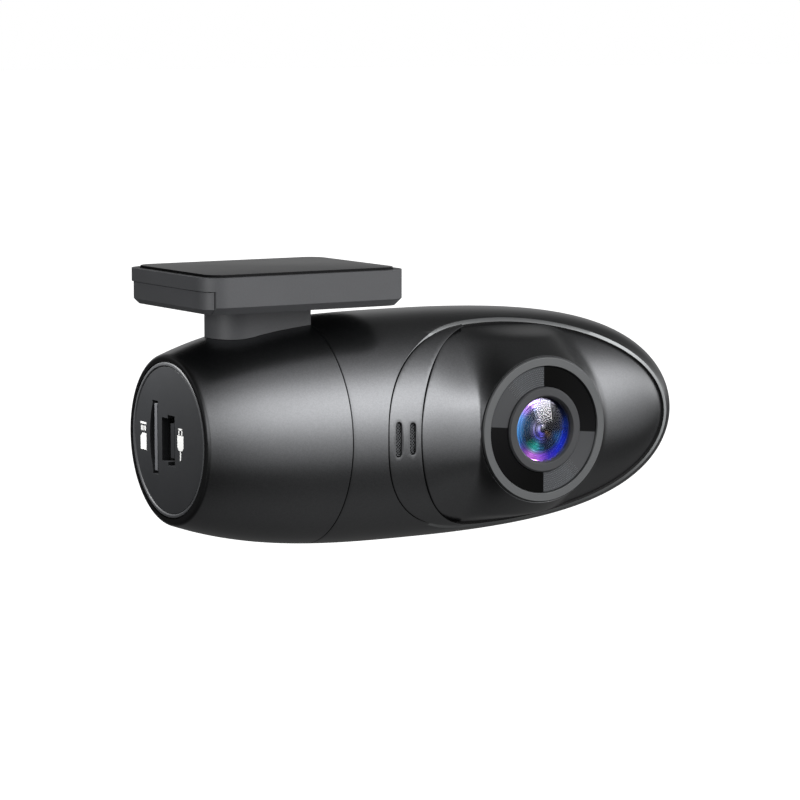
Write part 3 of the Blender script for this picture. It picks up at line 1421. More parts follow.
# ---------------- lens
@dataclass
class Lens:
    """Ring, sectored disc, bezel, coated glass and what shows behind it.

    Attributes:
        x, face_y: where the ring's face is.
        ring_radius to ring_chamfer: the anodised ring.
        disc_inner, disc_set_back: the disc, which lies behind the ring's face.
        bezel_outer to bezel_depth: the inner ring that holds the glass.
        glass_radius, glass_dome, glass_wall: the front glass.
        stack_depth, stack_rise, step_radii, pupil_radius: the coated element behind it.
        stud_pitch to stud_margin: the knurled sectors, the angles in degrees.
    """

    x: float
    face_y: float
    ring_radius: float
    ring_inner: float = 10.5
    ring_depth: float = 2.5
    ring_chamfer: float = 0.22
    disc_inner: float = 7.15
    disc_set_back: float = 0.3
    bezel_outer: float = 7.1
    bezel_inner: float = 5.35
    bezel_proud: float = 0.2
    bezel_depth: float = 2.0
    glass_radius: float = 5.3
    glass_dome: float = 1.0
    glass_wall: float = 0.35
    pupil_radius: float = 1.08
    stack_depth: float = 0.85
    stack_rise: float = 0.5
    step_radii: tuple[float, ...] = (4.5, 3.85, 3.25, 2.75, 2.3, 1.85, 1.5)
    stud_pitch: float = 0.34
    stud_size: float = 0.1
    stud_rings: int = 9
    stud_columns: int = 22
    stud_start: float = 91.0
    stud_sweep: float = 42.0
    stud_margin: float = 0.2

    @classmethod
    def from_frame(cls) -> "Lens":
        """The lens's place and outer size as the frame has them."""
        low, high = AXES.box("lens_ring")
        return cls(x=float(low[0] + high[0]) / 2, face_y=float(low[1]), ring_radius=float(high[2]))

    def build_ring(self) -> Piece:
        """Anodised ring with bright turned edges.

        Returns:
            The piece.
        """
        outer, inner, c = self.ring_radius, self.ring_inner, self.ring_chamfer
        back = self.face_y + self.ring_depth
        profile = [
            (inner, back), (inner, self.face_y + c), (inner + c * 0.7, self.face_y), (outer - c, self.face_y),
            (outer, self.face_y + c), (outer, back),
        ]
        piece = revolve_y("lens_ring_anodised", profile, (self.x, 0), [RING], 240)
        soften(piece, 0.03, 20)
        return settle(piece, "lens_head", ["lens_ring"])

    def build_disc(self) -> Piece:
        """Disc between ring and bezel, glossy and textured in turn.

        Returns:
            The piece.
        """
        face, back = self.face_y + self.disc_set_back, self.face_y + self.ring_depth
        outer, inner = self.ring_inner - 0.03, self.disc_inner
        profile = [
            (inner, back), (inner, face + 0.06), (inner + 0.06, face), (outer - 0.06, face),
            (outer, face + 0.06), (outer, back),
        ]
        piece = revolve_y("decor_disc_sectored", profile, (self.x, 0), [SectorFinish(self)], 240)
        return settle(piece, "lens_head", ["decor_disc"])

    def build_ribs(self) -> Piece:
        """Fine raised points on the disc's two textured sectors.

        Returns:
            The piece.
        """
        labels = {"Inner": "NodeSocketFloat", "Pitch": "NodeSocketFloat", "Rings": "NodeSocketInt",
                  "Start": "NodeSocketFloat", "Sweep": "NodeSocketFloat", "Size": "NodeSocketFloat",
                  "Finish": "NodeSocketMaterial"}
        tree, given = new_tree("knurled_sector", labels)
        get = given.outputs
        columns = self.stud_columns
        grid = add_node(tree, "GeometryNodeMeshGrid", {
            "Size X": 1.0, "Size Y": 1.0, "Vertices X": get["Rings"], "Vertices Y": columns,
        })
        position = add_node(tree, "GeometryNodeInputPosition").outputs[0]
        spot = add_node(tree, "ShaderNodeSeparateXYZ", {0: position})
        steps = add_node(tree, MATH, {0: get["Rings"], 1: 1.0}, operation="SUBTRACT").outputs[0]
        outwards = add_node(tree, MATH, {0: spot.outputs[0], 1: 0.5}, operation="ADD").outputs[0]
        counted = add_node(tree, MATH, {0: outwards, 1: steps}, operation="MULTIPLY").outputs[0]
        ring = add_node(tree, MATH, {0: counted}, operation="ROUND").outputs[0]
        rise = add_node(tree, MATH, {0: ring, 1: get["Pitch"]}, operation="MULTIPLY").outputs[0]
        radius = add_node(tree, MATH, {0: get["Inner"], 1: rise}, operation="ADD").outputs[0]
        # Every second ring is turned by half a step, so that the points stand between each other
        odd = add_node(tree, MATH, {0: ring, 1: 2.0}, operation="MODULO").outputs[0]
        stagger = add_node(tree, MATH, {0: odd, 1: 0.5 / (columns - 1)}, operation="MULTIPLY").outputs[0]
        even_part = add_node(tree, MATH, {0: spot.outputs[1], 1: 0.5}, operation="ADD").outputs[0]
        part = add_node(tree, MATH, {0: even_part, 1: stagger}, operation="ADD").outputs[0]
        swept = add_node(tree, MATH, {0: part, 1: get["Sweep"]}, operation="MULTIPLY").outputs[0]
        turn = add_node(tree, MATH, {0: get["Start"], 1: swept}, operation="ADD").outputs[0]
        cosine = add_node(tree, MATH, {0: turn}, operation="COSINE").outputs[0]
        sine = add_node(tree, MATH, {0: turn}, operation="SINE").outputs[0]
        x = add_node(tree, MATH, {0: radius, 1: cosine}, operation="MULTIPLY").outputs[0]
        z = add_node(tree, MATH, {0: radius, 1: sine}, operation="MULTIPLY").outputs[0]
        place = add_node(tree, "ShaderNodeCombineXYZ", {0: x, 1: 0.0, 2: z})
        laid = add_node(tree, "GeometryNodeSetPosition", {0: grid.outputs[0], "Position": place.outputs[0]})
        height = add_node(tree, MATH, {0: get["Size"], 1: 0.8}, operation="MULTIPLY").outputs[0]
        stud = add_node(tree, "GeometryNodeMeshCone", {
            "Vertices": 4, "Radius Top": 0.0, "Radius Bottom": get["Size"], "Depth": height,
        })
        up = add_node(tree, TRANSFORM, {0: stud.outputs[0], "Rotation": (math.pi / 2, 0, 0)})
        studs = add_node(tree, "GeometryNodeInstanceOnPoints", {
            0: laid.outputs[0], "Instance": up.outputs[0],
        })
        twice = add_node(tree, "GeometryNodeJoinGeometry")
        across = add_node(tree, TRANSFORM, {0: studs.outputs[0], "Rotation": (0, math.pi, 0)})
        tree.links.new(studs.outputs[0], twice.inputs[0])
        tree.links.new(across.outputs[0], twice.inputs[0])
        end_tree(tree, twice.outputs[0], get["Finish"])
        piece = empty_piece("disc_knurl")
        apply_tree(piece, tree, {
            "Inner": (self.disc_inner + self.stud_margin) * MM, "Pitch": self.stud_pitch * MM,
            "Rings": self.stud_rings, "Start": math.radians(self.stud_start),
            "Sweep": math.radians(self.stud_sweep), "Size": self.stud_size * MM, "Finish": KNURL.build(),
        })
        spot_m = Vector(AXES.place((self.x, self.face_y + self.disc_set_back, 0)))
        piece.data.transform(Matrix.Translation(spot_m))
        return settle(piece, "lens_head")

    def build_bezel(self) -> Piece:
        """Inner ring that holds the glass, with a fine inner cone.

        Returns:
            The piece.
        """
        front = self.face_y - self.bezel_proud
        outer, inner = self.bezel_outer, self.bezel_inner
        profile = [
            (inner, front + self.bezel_depth), (inner, front + 0.45), (inner + 0.28, front + 0.05),
            (inner + 0.36, front), (outer - 0.25, front), (outer, front + 0.25),
            (outer, front + self.bezel_depth),
        ]
        piece = revolve_y("lens_bezel_matt", profile, (self.x, 0), [BEZEL], 200)
        soften(piece, 0.03, 20)
        return settle(piece, "lens_head", ["lens_bezel"])

    def dome(self, radius: float, rise: float, front: float, steps: int = 24) -> list[tuple[float, float]]:
        """Profile of a domed face.

        Args:
            radius: of its edge.
            rise: of the pole over the edge.
            front: y of the pole.
            steps: between edge and pole.

        Returns:
            (radius, y) corners from the edge to the pole.
        """
        sphere = (radius**2 + rise**2) / (2 * rise)
        reach = math.asin(radius / sphere)
        turns = [reach * (1 - i / steps) for i in range(steps + 1)]
        return [(sphere * math.sin(t), front + sphere * (1 - math.cos(t))) for t in turns]

    def build_glass(self) -> Piece:
        """Front glass: a thin meniscus.

        Returns:
            The piece.
        """
        low, _ = AXES.box("front_lens")
        front = float(low[1])
        face = self.dome(self.glass_radius, self.glass_dome, front)
        back = [(r, y + self.glass_wall) for r, y in reversed(face)]
        piece = revolve_y("front_glass_coated", face + back, (self.x, 0), [CoatedGlass()], 128, 60)
        return settle(piece, "lens_head", ["front_lens"])

    def build_stack(self) -> Piece:
        """Coated second element with fine steps, and the small inner lens in its middle.

        Returns:
            The piece.
        """
        low, _ = AXES.box("front_lens")
        pole = float(low[1]) + self.stack_depth
        face = self.dome(self.glass_radius - 0.03, self.stack_rise, pole, 40)
        sphere = ((self.glass_radius - 0.03) ** 2 + self.stack_rise**2) / (2 * self.stack_rise)
        profile = [(self.glass_radius - 0.03, pole + 2.0)]
        profile += [(r, y) for r, y in face if r > self.step_radii[0] + 0.1]
        for radius in self.step_radii:
            y = pole + sphere - math.sqrt(sphere**2 - radius**2)
            profile += [(radius + 0.04, y), (radius, y + 0.10), (radius - 0.10, y + 0.10), (radius - 0.16, y)]
        profile += [(self.pupil_radius + 0.14, pole), (self.pupil_radius + 0.04, pole + 0.12)]
        profile += self.dome(self.pupil_radius, 0.32, pole - 0.22, 12)
        profile += [(0.0, pole + 2.0)]
        piece = revolve_y("second_glass_coated", profile, (self.x, 0), [CoatingFinish(self)], 160, 40)
        return settle(piece, "lens_head", ["second_lens"])

    def centre(self) -> tuple[float, float, float]:
        """Centre of the ring's face in the row frame, in metres."""
        return tuple(float(v) for v in AXES.place((self.x, self.face_y, 0)))


def polar(tree: Tree, centre: tuple[float, float, float]) -> tuple[Socket, ...]:
    """Radius and clock angle about the lens axis, as sockets in a material.

    Args:
        tree: the material's node tree.
        centre: a point on the axis, in metres.

    Returns:
        The radius in millimetres, and the angle as a share of a turn that starts at three o'clock.
    """
    place = add_node(tree, "ShaderNodeTexCoord").outputs["Object"]
    local = add_node(tree, VECTOR_MATH, {0: place, 1: centre}, operation="SUBTRACT").outputs[0]
    flat = add_node(tree, VECTOR_MATH, {0: local, 1: (1, 0, 1)}, operation="MULTIPLY").outputs[0]
    length = add_node(tree, VECTOR_MATH, {0: flat}, operation="LENGTH").outputs["Value"]
    spot = add_node(tree, "ShaderNodeSeparateXYZ", {0: local})
    angle = add_node(tree, MATH, {0: spot.outputs[2], 1: spot.outputs[0]}, operation="ARCTAN2").outputs[0]
    turns = add_node(tree, MATH, {0: angle, 1: 2 * math.pi}, operation="DIVIDE").outputs[0]
    turn = add_node(tree, MATH, {0: turns}, operation="FRACT").outputs[0]
    radius = add_node(tree, MATH, {0: length, 1: MM}, operation="DIVIDE").outputs[0]
    return radius, turn


@dataclass(frozen=True)
class SectorFinish:
    """Disc moulded in point-symmetric sectors: gloss black, satin grey and a textured lighter one.

    Attributes:
        lens: whose axis the sectors go round.
        name: the material's common name and how it was made.
        ior: low, as the gloss reflects little beside the lens.
    """

    lens: Lens
    name: str = "abs_disc_gloss_and_texture"
    ior: float = 1.16

    def build(self) -> bpy.types.Material:
        """Makes the material.

        Returns:
            The material.
        """
        material, tree, shader = new_material(self.name)
        _, turn = polar(tree, self.lens.centre())
        back = add_node(tree, MATH, {0: 1.25, 1: turn}, operation="SUBTRACT").outputs[0]
        halves = add_node(tree, MATH, {0: back, 1: 2.0}, operation="MULTIPLY").outputs[0]
        clockwise = add_node(tree, MATH, {0: halves}, operation="FRACT").outputs[0]
        colour = add_node(tree, COLOUR_RAMP, {0: clockwise}, SECTOR_STOPS).outputs[0]
        tree.links.new(colour, shader.inputs["Base Color"])
        dull = add_node(tree, COLOUR_RAMP, {0: clockwise}, SECTOR_ROUGHNESS).outputs[0]
        rough = add_node(tree, "ShaderNodeSeparateColor", {0: dull}).outputs[0]
        tree.links.new(rough, shader.inputs["Roughness"])
        shader.inputs["IOR"].default_value = self.ior
        return material


# Half a turn clockwise from twelve o'clock: black, satin grey from a quarter past three, textured to six
SECTOR_STOPS = (
    (0.0, "#020202"), (0.12, "#050505"), (0.36, "#0e0e0f"), (0.535, "#151516"), (0.5351, "#58595b"),
    (0.80, "#5e5f61"), (0.8001, "#626467"), (1.0, "#5a5c5f"),
)
# Roughness over the same half turn: polished black, then satin
SECTOR_ROUGHNESS = ((0.0, 0.16), (0.535, 0.16), (0.5351, 0.45), (1.0, 0.5))


@dataclass(frozen=True)
class CoatedGlass:
    """Front glass with a broadband coating, which reflects little and clears the view inside.

    Attributes:
        name: the material's common name and how it was made.
        film: size of the coating's faint clouds in millimetres.
        roughness: a trace, so that lamps show in the glass without speckle.
        ior: below that of glass, as the coating takes most of the reflection away.
    """

    name: str = "optical_glass_broadband_coating"
    film: float = 4.0
    roughness: float = 0.05
    ior: float = 1.18

    def build(self) -> bpy.types.Material:
        """Makes the material.

        Returns:
            The material.
        """
        material, tree, shader = new_material(self.name)
        place = add_node(tree, "ShaderNodeTexCoord").outputs["Object"]
        clouds = add_node(tree, "ShaderNodeTexNoise", {
            "Vector": place, "Scale": 1 / (self.film * MM), "Detail": 1.0,
        }).outputs[0]
        tints = ((0.0, "#f4f4ff"), (1.0, "#ffffff"))
        tint = add_node(tree, COLOUR_RAMP, {0: clouds}, tints).outputs[0]
        tree.links.new(tint, shader.inputs["Base Color"])
        shader.inputs["Roughness"].default_value = self.roughness
        shader.inputs["IOR"].default_value = self.ior
        shader.inputs["Transmission Weight"].default_value = 1.0
        return material


@dataclass(frozen=True)
class CoatingFinish:
    """Multilayer coating on the inner elements: blue, violet, teal and magenta arcs round a dark middle.

    Attributes:
        lens: whose axis the arcs go round.
        name: the material's common name and how it was made.
        outer_band: shares of the radius between which the outer arcs take over from the middle ones.
        inner_band: shares of the radius between which the middle arcs take over from the innermost.
        glow: share of the colour that shows even in shade, for light that comes back from inside.
        roughness: of the coating.
        metallic: share of coloured reflection.
    """

    lens: Lens
    name: str = "optical_glass_multilayer_coating"
    outer_band: tuple[float, float] = (0.66, 0.84)
    inner_band: tuple[float, float] = (0.3, 0.5)
    glow: float = 0.3
    roughness: float = 0.08
    metallic: float = 0.6

    def build(self) -> bpy.types.Material:
        """Makes the material.

        Returns:
            The material.
        """
        material, tree, shader = new_material(self.name)
        radius, turn = polar(tree, self.lens.centre())
        share = add_node(tree, MATH, {0: radius, 1: self.lens.glass_radius}, operation="DIVIDE").outputs[0]
        colour = add_node(tree, COLOUR_RAMP, {0: turn}, INNER_COATING).outputs[0]
        for arcs, (low, high) in ((MIDDLE_COATING, self.inner_band), (OUTER_COATING, self.outer_band)):
            beyond = add_node(tree, COLOUR_RAMP, {0: turn}, arcs).outputs[0]
            place = add_node(tree, "ShaderNodeMapRange", {"Value": share, "From Min": low, "From Max": high})
            mixed = add_node(tree, "ShaderNodeMix", {
                "Factor": place.outputs[0], "A": colour, "B": beyond,
            }, data_type="RGBA")
            colour = next(socket for socket in mixed.outputs if socket.type == "RGBA")
        lines = add_node(tree, COLOUR_RAMP, {0: share}, COATING_LINES).outputs[0]
        lined = add_node(tree, VECTOR_MATH, {0: colour, 1: lines}, operation="MULTIPLY").outputs[0]
        tree.links.new(lined, shader.inputs["Base Color"])
        tree.links.new(lined, shader.inputs["Emission Color"])
        shader.inputs["Emission Strength"].default_value = self.glow
        shader.inputs["Roughness"].default_value = self.roughness
        shader.inputs["Metallic"].default_value = self.metallic
        return material


# Colours anticlockwise from three o'clock
OUTER_COATING = (
    (0.0, "#24409e"), (0.07, "#141c3c"), (0.14, "#0a0b12"), (0.25, "#1a1626"), (0.31, "#5a4488"),
    (0.37, "#9a72cc"), (0.42, "#5a8fd0"), (0.5, "#4a90c8"), (0.57, "#2a5c94"), (0.62, "#5a3a90"),
    (0.68, "#c878d8"), (0.74, "#9a5ad0"), (0.80, "#3a2ca8"), (0.87, "#1c2cb8"), (0.94, "#1c34c0"),
    (1.0, "#182c78"),
)
MIDDLE_COATING = (
    (0.0, "#0c1838"), (0.08, "#07080c"), (0.25, "#0e0e12"), (0.36, "#26344e"), (0.44, "#2c5478"),
    (0.52, "#204464"), (0.58, "#12283a"), (0.63, "#1d8a78"), (0.68, "#38c8b8"), (0.73, "#2a6a90"),
    (0.79, "#14243c"), (0.87, "#12345c"), (0.93, "#1c5c94"), (1.0, "#0c1838"),
)
INNER_COATING = (
    (0.0, "#0c0c10"), (0.25, "#20202c"), (0.36, "#4a4a66"), (0.46, "#b4b0e0"), (0.54, "#8884c8"),
    (0.62, "#4a44b8"), (0.70, "#6862d8"), (0.77, "#4840a0"), (0.83, "#2a2438"), (0.90, "#7a5c38"),
    (0.95, "#2a2018"), (1.0, "#0c0c10"),
)
# Share of the colour by radius: each dark line is the edge of one of the elements behind
COATING_LINES = (
    (0.0, 0.04), (0.1, 0.06), (0.13, 1.0), (0.185, 1.0), (0.2, 0.05), (0.225, 0.8), (0.25, 0.1),
    (0.31, 0.4), (0.33, 1.0), (0.35, 0.1), (0.42, 0.5), (0.44, 0.2), (0.51, 0.55), (0.53, 0.25),
    (0.6, 0.7), (0.62, 0.35), (0.71, 0.9), (0.73, 0.5), (0.82, 1.0), (0.84, 0.6), (0.88, 1.0),
    (1.0, 0.9),
)


# ---------------- port end
@dataclass
class PortEnd:
    """What is on the port plate: two generic pictograms, for the memory card and for the plug.

    Attributes:
        face_x: the plate's face.
        card_y, plug_y: the pictograms' middles.
        ink: how far the ink reaches either way from the face.
        line: width of the card's fine lines.
    """

    face_x: float = 0.15
    card_y: float = 8.9
    plug_y: float = -4.2
    ink: float = 0.03
    line: float = 0.34

    def polygon(self, points: Sequence[tuple[float, float]]) -> tuple[Points, list[list[int]]]:
        """A raised flat shape.

        Args:
            points: its (y, z) corners in order.

        Returns:
            The corners in space and the faces.
        """
        count = len(points)
        front = [(self.face_x - self.ink, y, z) for y, z in points]
        back = [(self.face_x + self.ink, y, z) for y, z in points]
        faces = [list(range(count)), list(range(2 * count - 1, count - 1, -1))]
        faces += [[i, (i + 1) % count, (i + 1) % count + count, i + count] for i in range(count)]
        return np.array(front + back), faces

    def bar(self, y: float, z: float, width: float, height: float) -> list[tuple[float, float]]:
        """A rectangle about (y, z)."""
        a, b, c, d = y - width / 2, y + width / 2, z - height / 2, z + height / 2
        return [(a, c), (b, c), (b, d), (a, d)]

    def card_shapes(self) -> list[list[tuple[float, float]]]:
        """A memory card with a cut corner, its contacts and a rule above them.

        Returns:
            The corners of each shape.
        """
        y = self.card_y
        body = [
            (y - 1.05, -2.5), (y + 1.05, -2.5), (y + 1.05, -0.4), (y + 0.4, 0.25), (y - 1.05, 0.25),
        ]
        contacts = [self.bar(y - 0.72 + 0.48 * i, 1.05, self.line * 0.8, 0.8) for i in range(4)]
        rule = self.bar(y, 1.9, 2.1, self.line)
        return [body, rule, *contacts]

    def plug_shapes(self) -> list[list[tuple[float, float]]]:
        """A plug seen from the side: shell, body, strain relief and lead."""
        y = self.plug_y
        return [
            self.bar(y, 2.2, 1.3, 0.32), self.bar(y - 0.5, 1.75, 0.3, 0.9), self.bar(y + 0.5, 1.75, 0.3, 0.9),
            [(y - 1.05, 1.2), (y - 1.05, -0.7), (y - 0.6, -1.25), (y + 0.6, -1.25), (y + 1.05, -0.7),
             (y + 1.05, 1.2)],
            self.bar(y, -2.1, 0.36, 1.5),
        ]

    def build_prints(self) -> Piece:
        """Both pictograms in white ink.

        Returns:
            The piece.
        """
        points, faces = [], []
        for shape in self.card_shapes() + self.plug_shapes():
            made, parts = self.polygon(shape)
            base = sum(len(p) for p in points)
            points.append(made)
            faces += [[i + base for i in part] for part in parts]
        piece = make_object("port_pictograms", np.concatenate(points), faces, [INK])
        return settle(piece, "camera_body")


# ---------------- CAD nodes
NODE_FINISHES: dict[str, Finish] = {
    "mount_bracket": MOUNT, "slide_tray": MOUNT, "neck": MOUNT, "neck_screws": STEEL,
    "port_trim_ring": TRIM, "port_plate": PORT, "main_board": BOARD, "processor": RESIN,
    "wireless_module": STEEL, "supercapacitors": SLEEVE, "usb_socket": STEEL, "usb_tongue": TONGUE,
    "card_socket": STEEL, "memory_card": CARD, "board_connector": CONTACT, "function_key": KEY,
    "key_switch": RESIN, "key_board": BOARD, "status_light": CLEAR, "light_pipe": CLEAR, "swivel_hub": INNER,
    "hub_screws": STEEL, "friction_washer": STEEL, "retaining_ring": STEEL, "head_bulkhead": INNER,
    "speaker": INNER, "microphone": STEEL, "lens_spacer": TUBE, "aperture_disc": TUBE, "third_lens": GLASS,
    "lens_tube": TUBE, "lens_holder": INNER, "infrared_filter": GLASS, "image_sensor": SENSOR,
    "sensor_board": BOARD, "sensor_connector": CONTACT, "sensor_screws": STEEL, "head_frame": INNER,
    "frame_screws": STEEL, "ribbon_cable": RIBBON,
}
# Radius in millimetres of the small roundings on moulded edges
ROUNDINGS: dict[str, float] = {
    "mount_bracket": 0.16, "slide_tray": 0.14, "neck": 0.12, "port_trim_ring": 0.06, "port_plate": 0.06,
    "function_key": 0.05, "memory_card": 0.08,
}


def weld_tree() -> Tree:
    """A tree that joins a CAD node's loose triangles and shades them smooth up to an angle.

    Returns:
        The tree.
    """
    tree, given = new_tree("join_and_smooth", {"Distance": "NodeSocketFloat", "Angle": "NodeSocketFloat"})
    joined = add_node(tree, "GeometryNodeMergeByDistance", {
        0: given.outputs[0], "Distance": given.outputs["Distance"],
    })
    angle = add_node(tree, "GeometryNodeInputMeshEdgeAngle").outputs[0]
    flat = add_node(tree, MATH, {0: angle, 1: given.outputs["Angle"]}, operation="LESS_THAN").outputs[0]
    faces = add_node(tree, "GeometryNodeSetShadeSmooth", {0: joined.outputs[0], "Shade Smooth": True})
    edges = add_node(tree, "GeometryNodeSetShadeSmooth", {
        0: faces.outputs[0], "Shade Smooth": flat,
    }, domain="EDGE")
    add_node(tree, "NodeGroupOutput", {0: edges.outputs[0]})
    return tree


def dress_nodes() -> None:
    """Gives every CAD node that stays its finish, joined faces and small edge roundings."""
    tree = weld_tree()
    for name, finish in NODE_FINISHES.items():
        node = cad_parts[name]
        node.data.materials.clear()
        node.data.materials.append(finish.build())
        add_tree(node, tree, {"Distance": JOIN_DISTANCE * MM, "Angle": math.radians(CRISP_ANGLE)})
        if name in ROUNDINGS:
            soften(node, ROUNDINGS[name])


@dataclass
class Pad:
    """Adhesive pad on the mount: cut foam with a dark film on top.

    Attributes:
        corner: radius of its corners.
        edge: rounding of the film's edge.
        steps: round each corner.
    """

    corner: float = 2.9
    edge: float = 0.14
    steps: int = 12

    def outline(self, low: Points, high: Points, inset: float) -> Points:
        """Rounded rectangle in (x, y).

        Args:
            low: the box's lowest corner.
            high: the box's highest corner.
            inset: how far inside the box.

        Returns:
            The outline's points.
        """
        radius = self.corner - inset
        x0, y0 = low[0] + self.corner, low[1] + self.corner
        x1, y1 = high[0] - self.corner, high[1] - self.corner
        loop = []
        for centre, start in (((x1, y1), 0), ((x0, y1), 90), ((x0, y0), 180), ((x1, y0), 270)):
            loop += arc(centre, radius, start, start + 90, self.steps)
        return np.array(loop)

    def build(self) -> Piece:
        """Makes the pad.

        Returns:
            The piece.
        """
        low, high = AXES.box("adhesive_pad")
        rows = [(0.0, low[2])]
        for turn in (0, math.pi / 6, math.pi / 3, math.pi / 2):
            rows.append((self.edge * (1 - math.cos(turn)), high[2] - self.edge * (1 - math.sin(turn))))
        points, faces, picks = [], [], []
        for inset, z in rows:
            loop = self.outline(low, high, inset)
            points += [(x, y, z) for x, y in loop]
        count = len(points) // len(rows)
        for row in range(len(rows) - 1):
            for i in range(count):
                j = (i + 1) % count
                faces.append([row * count + i, row * count + j, (row + 1) * count + j, (row + 1) * count + i])
                picks.append(1)
        faces += [list(range(count))[::-1], [(len(rows) - 1) * count + i for i in range(count)]]
        picks += [1, 0]
        piece = make_object("adhesive_pad_filmed", np.array(points), faces, [PAD_FILM, PAD_FOAM], picks)
        return settle(piece, "mount", ["adhesive_pad"])


# ---------------- studio
GLASS_PIECES = ("front_glass_coated",)
PORT_PIECES = ("port_plate", "port_trim_ring", "memory_card", "usb_tongue", "usb_socket", "port_pictograms")
MOUNT_PIECES = ("mount_bracket", "slide_tray", "neck")


@dataclass(frozen=True)
class Lamp:
    """An area lamp that looks at a point and lights only the named pieces.

    Attributes:
        name: the lamp's name.
        aim: the point, in millimetres of the camera's axes.
        azimuth: in degrees; 0 is in front, 90 at the nose's side.
        elevation: in degrees above the horizon.
        distance: from the point, in metres.
        size: width and height in metres.
        power: in watts.
        pieces: what it lights.
        fades: it is weaker towards its lower edge.
    """

    name: str
    aim: tuple[float, float, float]
    azimuth: float
    elevation: float
    distance: float
    size: Pair
    power: float
    pieces: tuple[str, ...]
    fades: bool = False

    def build(self) -> Piece:
        """Makes the lamp.

        Returns:
            The lamp.
        """
        data = bpy.data.lights.new(self.name, "AREA")
        data.shape, data.energy = "RECTANGLE", self.power
        data.size, data.size_y = self.size
        lamp = bpy.data.objects.new(self.name, data)
        bpy.context.scene.collection.objects.link(lamp)
        a, e = math.radians(self.azimuth), math.radians(self.elevation)
        away = Vector((math.sin(a) * math.cos(e), -math.cos(a) * math.cos(e), math.sin(e)))
        lamp.location = Vector(AXES.place(self.aim)) + away * self.distance
        lamp.rotation_mode = "QUATERNION"
        lamp.rotation_quaternion = (-away).to_track_quat("-Z", "Y")
        lit = bpy.data.collections.new(f"lit_by_{self.name}")
        for piece in self.pieces:
            lit.objects.link(bpy.data.objects[piece])
        lamp.light_linking.receiver_collection = lit
        return lamp


LAMPS = (
    Lamp("window", (59.3, -20.0, 0.0), 35.0, 15.0, 0.6, (0.25, 0.33), 9.0, GLASS_PIECES, True),
    Lamp("window_pane", (59.3, -20.0, 0.0), 48.0, 24.0, 0.6, (0.05, 0.07), 0.5, GLASS_PIECES),
    Lamp("port_fill", (0.0, 4.0, 10.0), -120.0, 40.0, 0.042, (0.02, 0.02), 0.055, PORT_PIECES),
    Lamp("mount_fill", (6.0, 0.0, 28.0), -72.0, 6.0, 0.6, (0.3, 0.3), 1.3, MOUNT_PIECES),
)


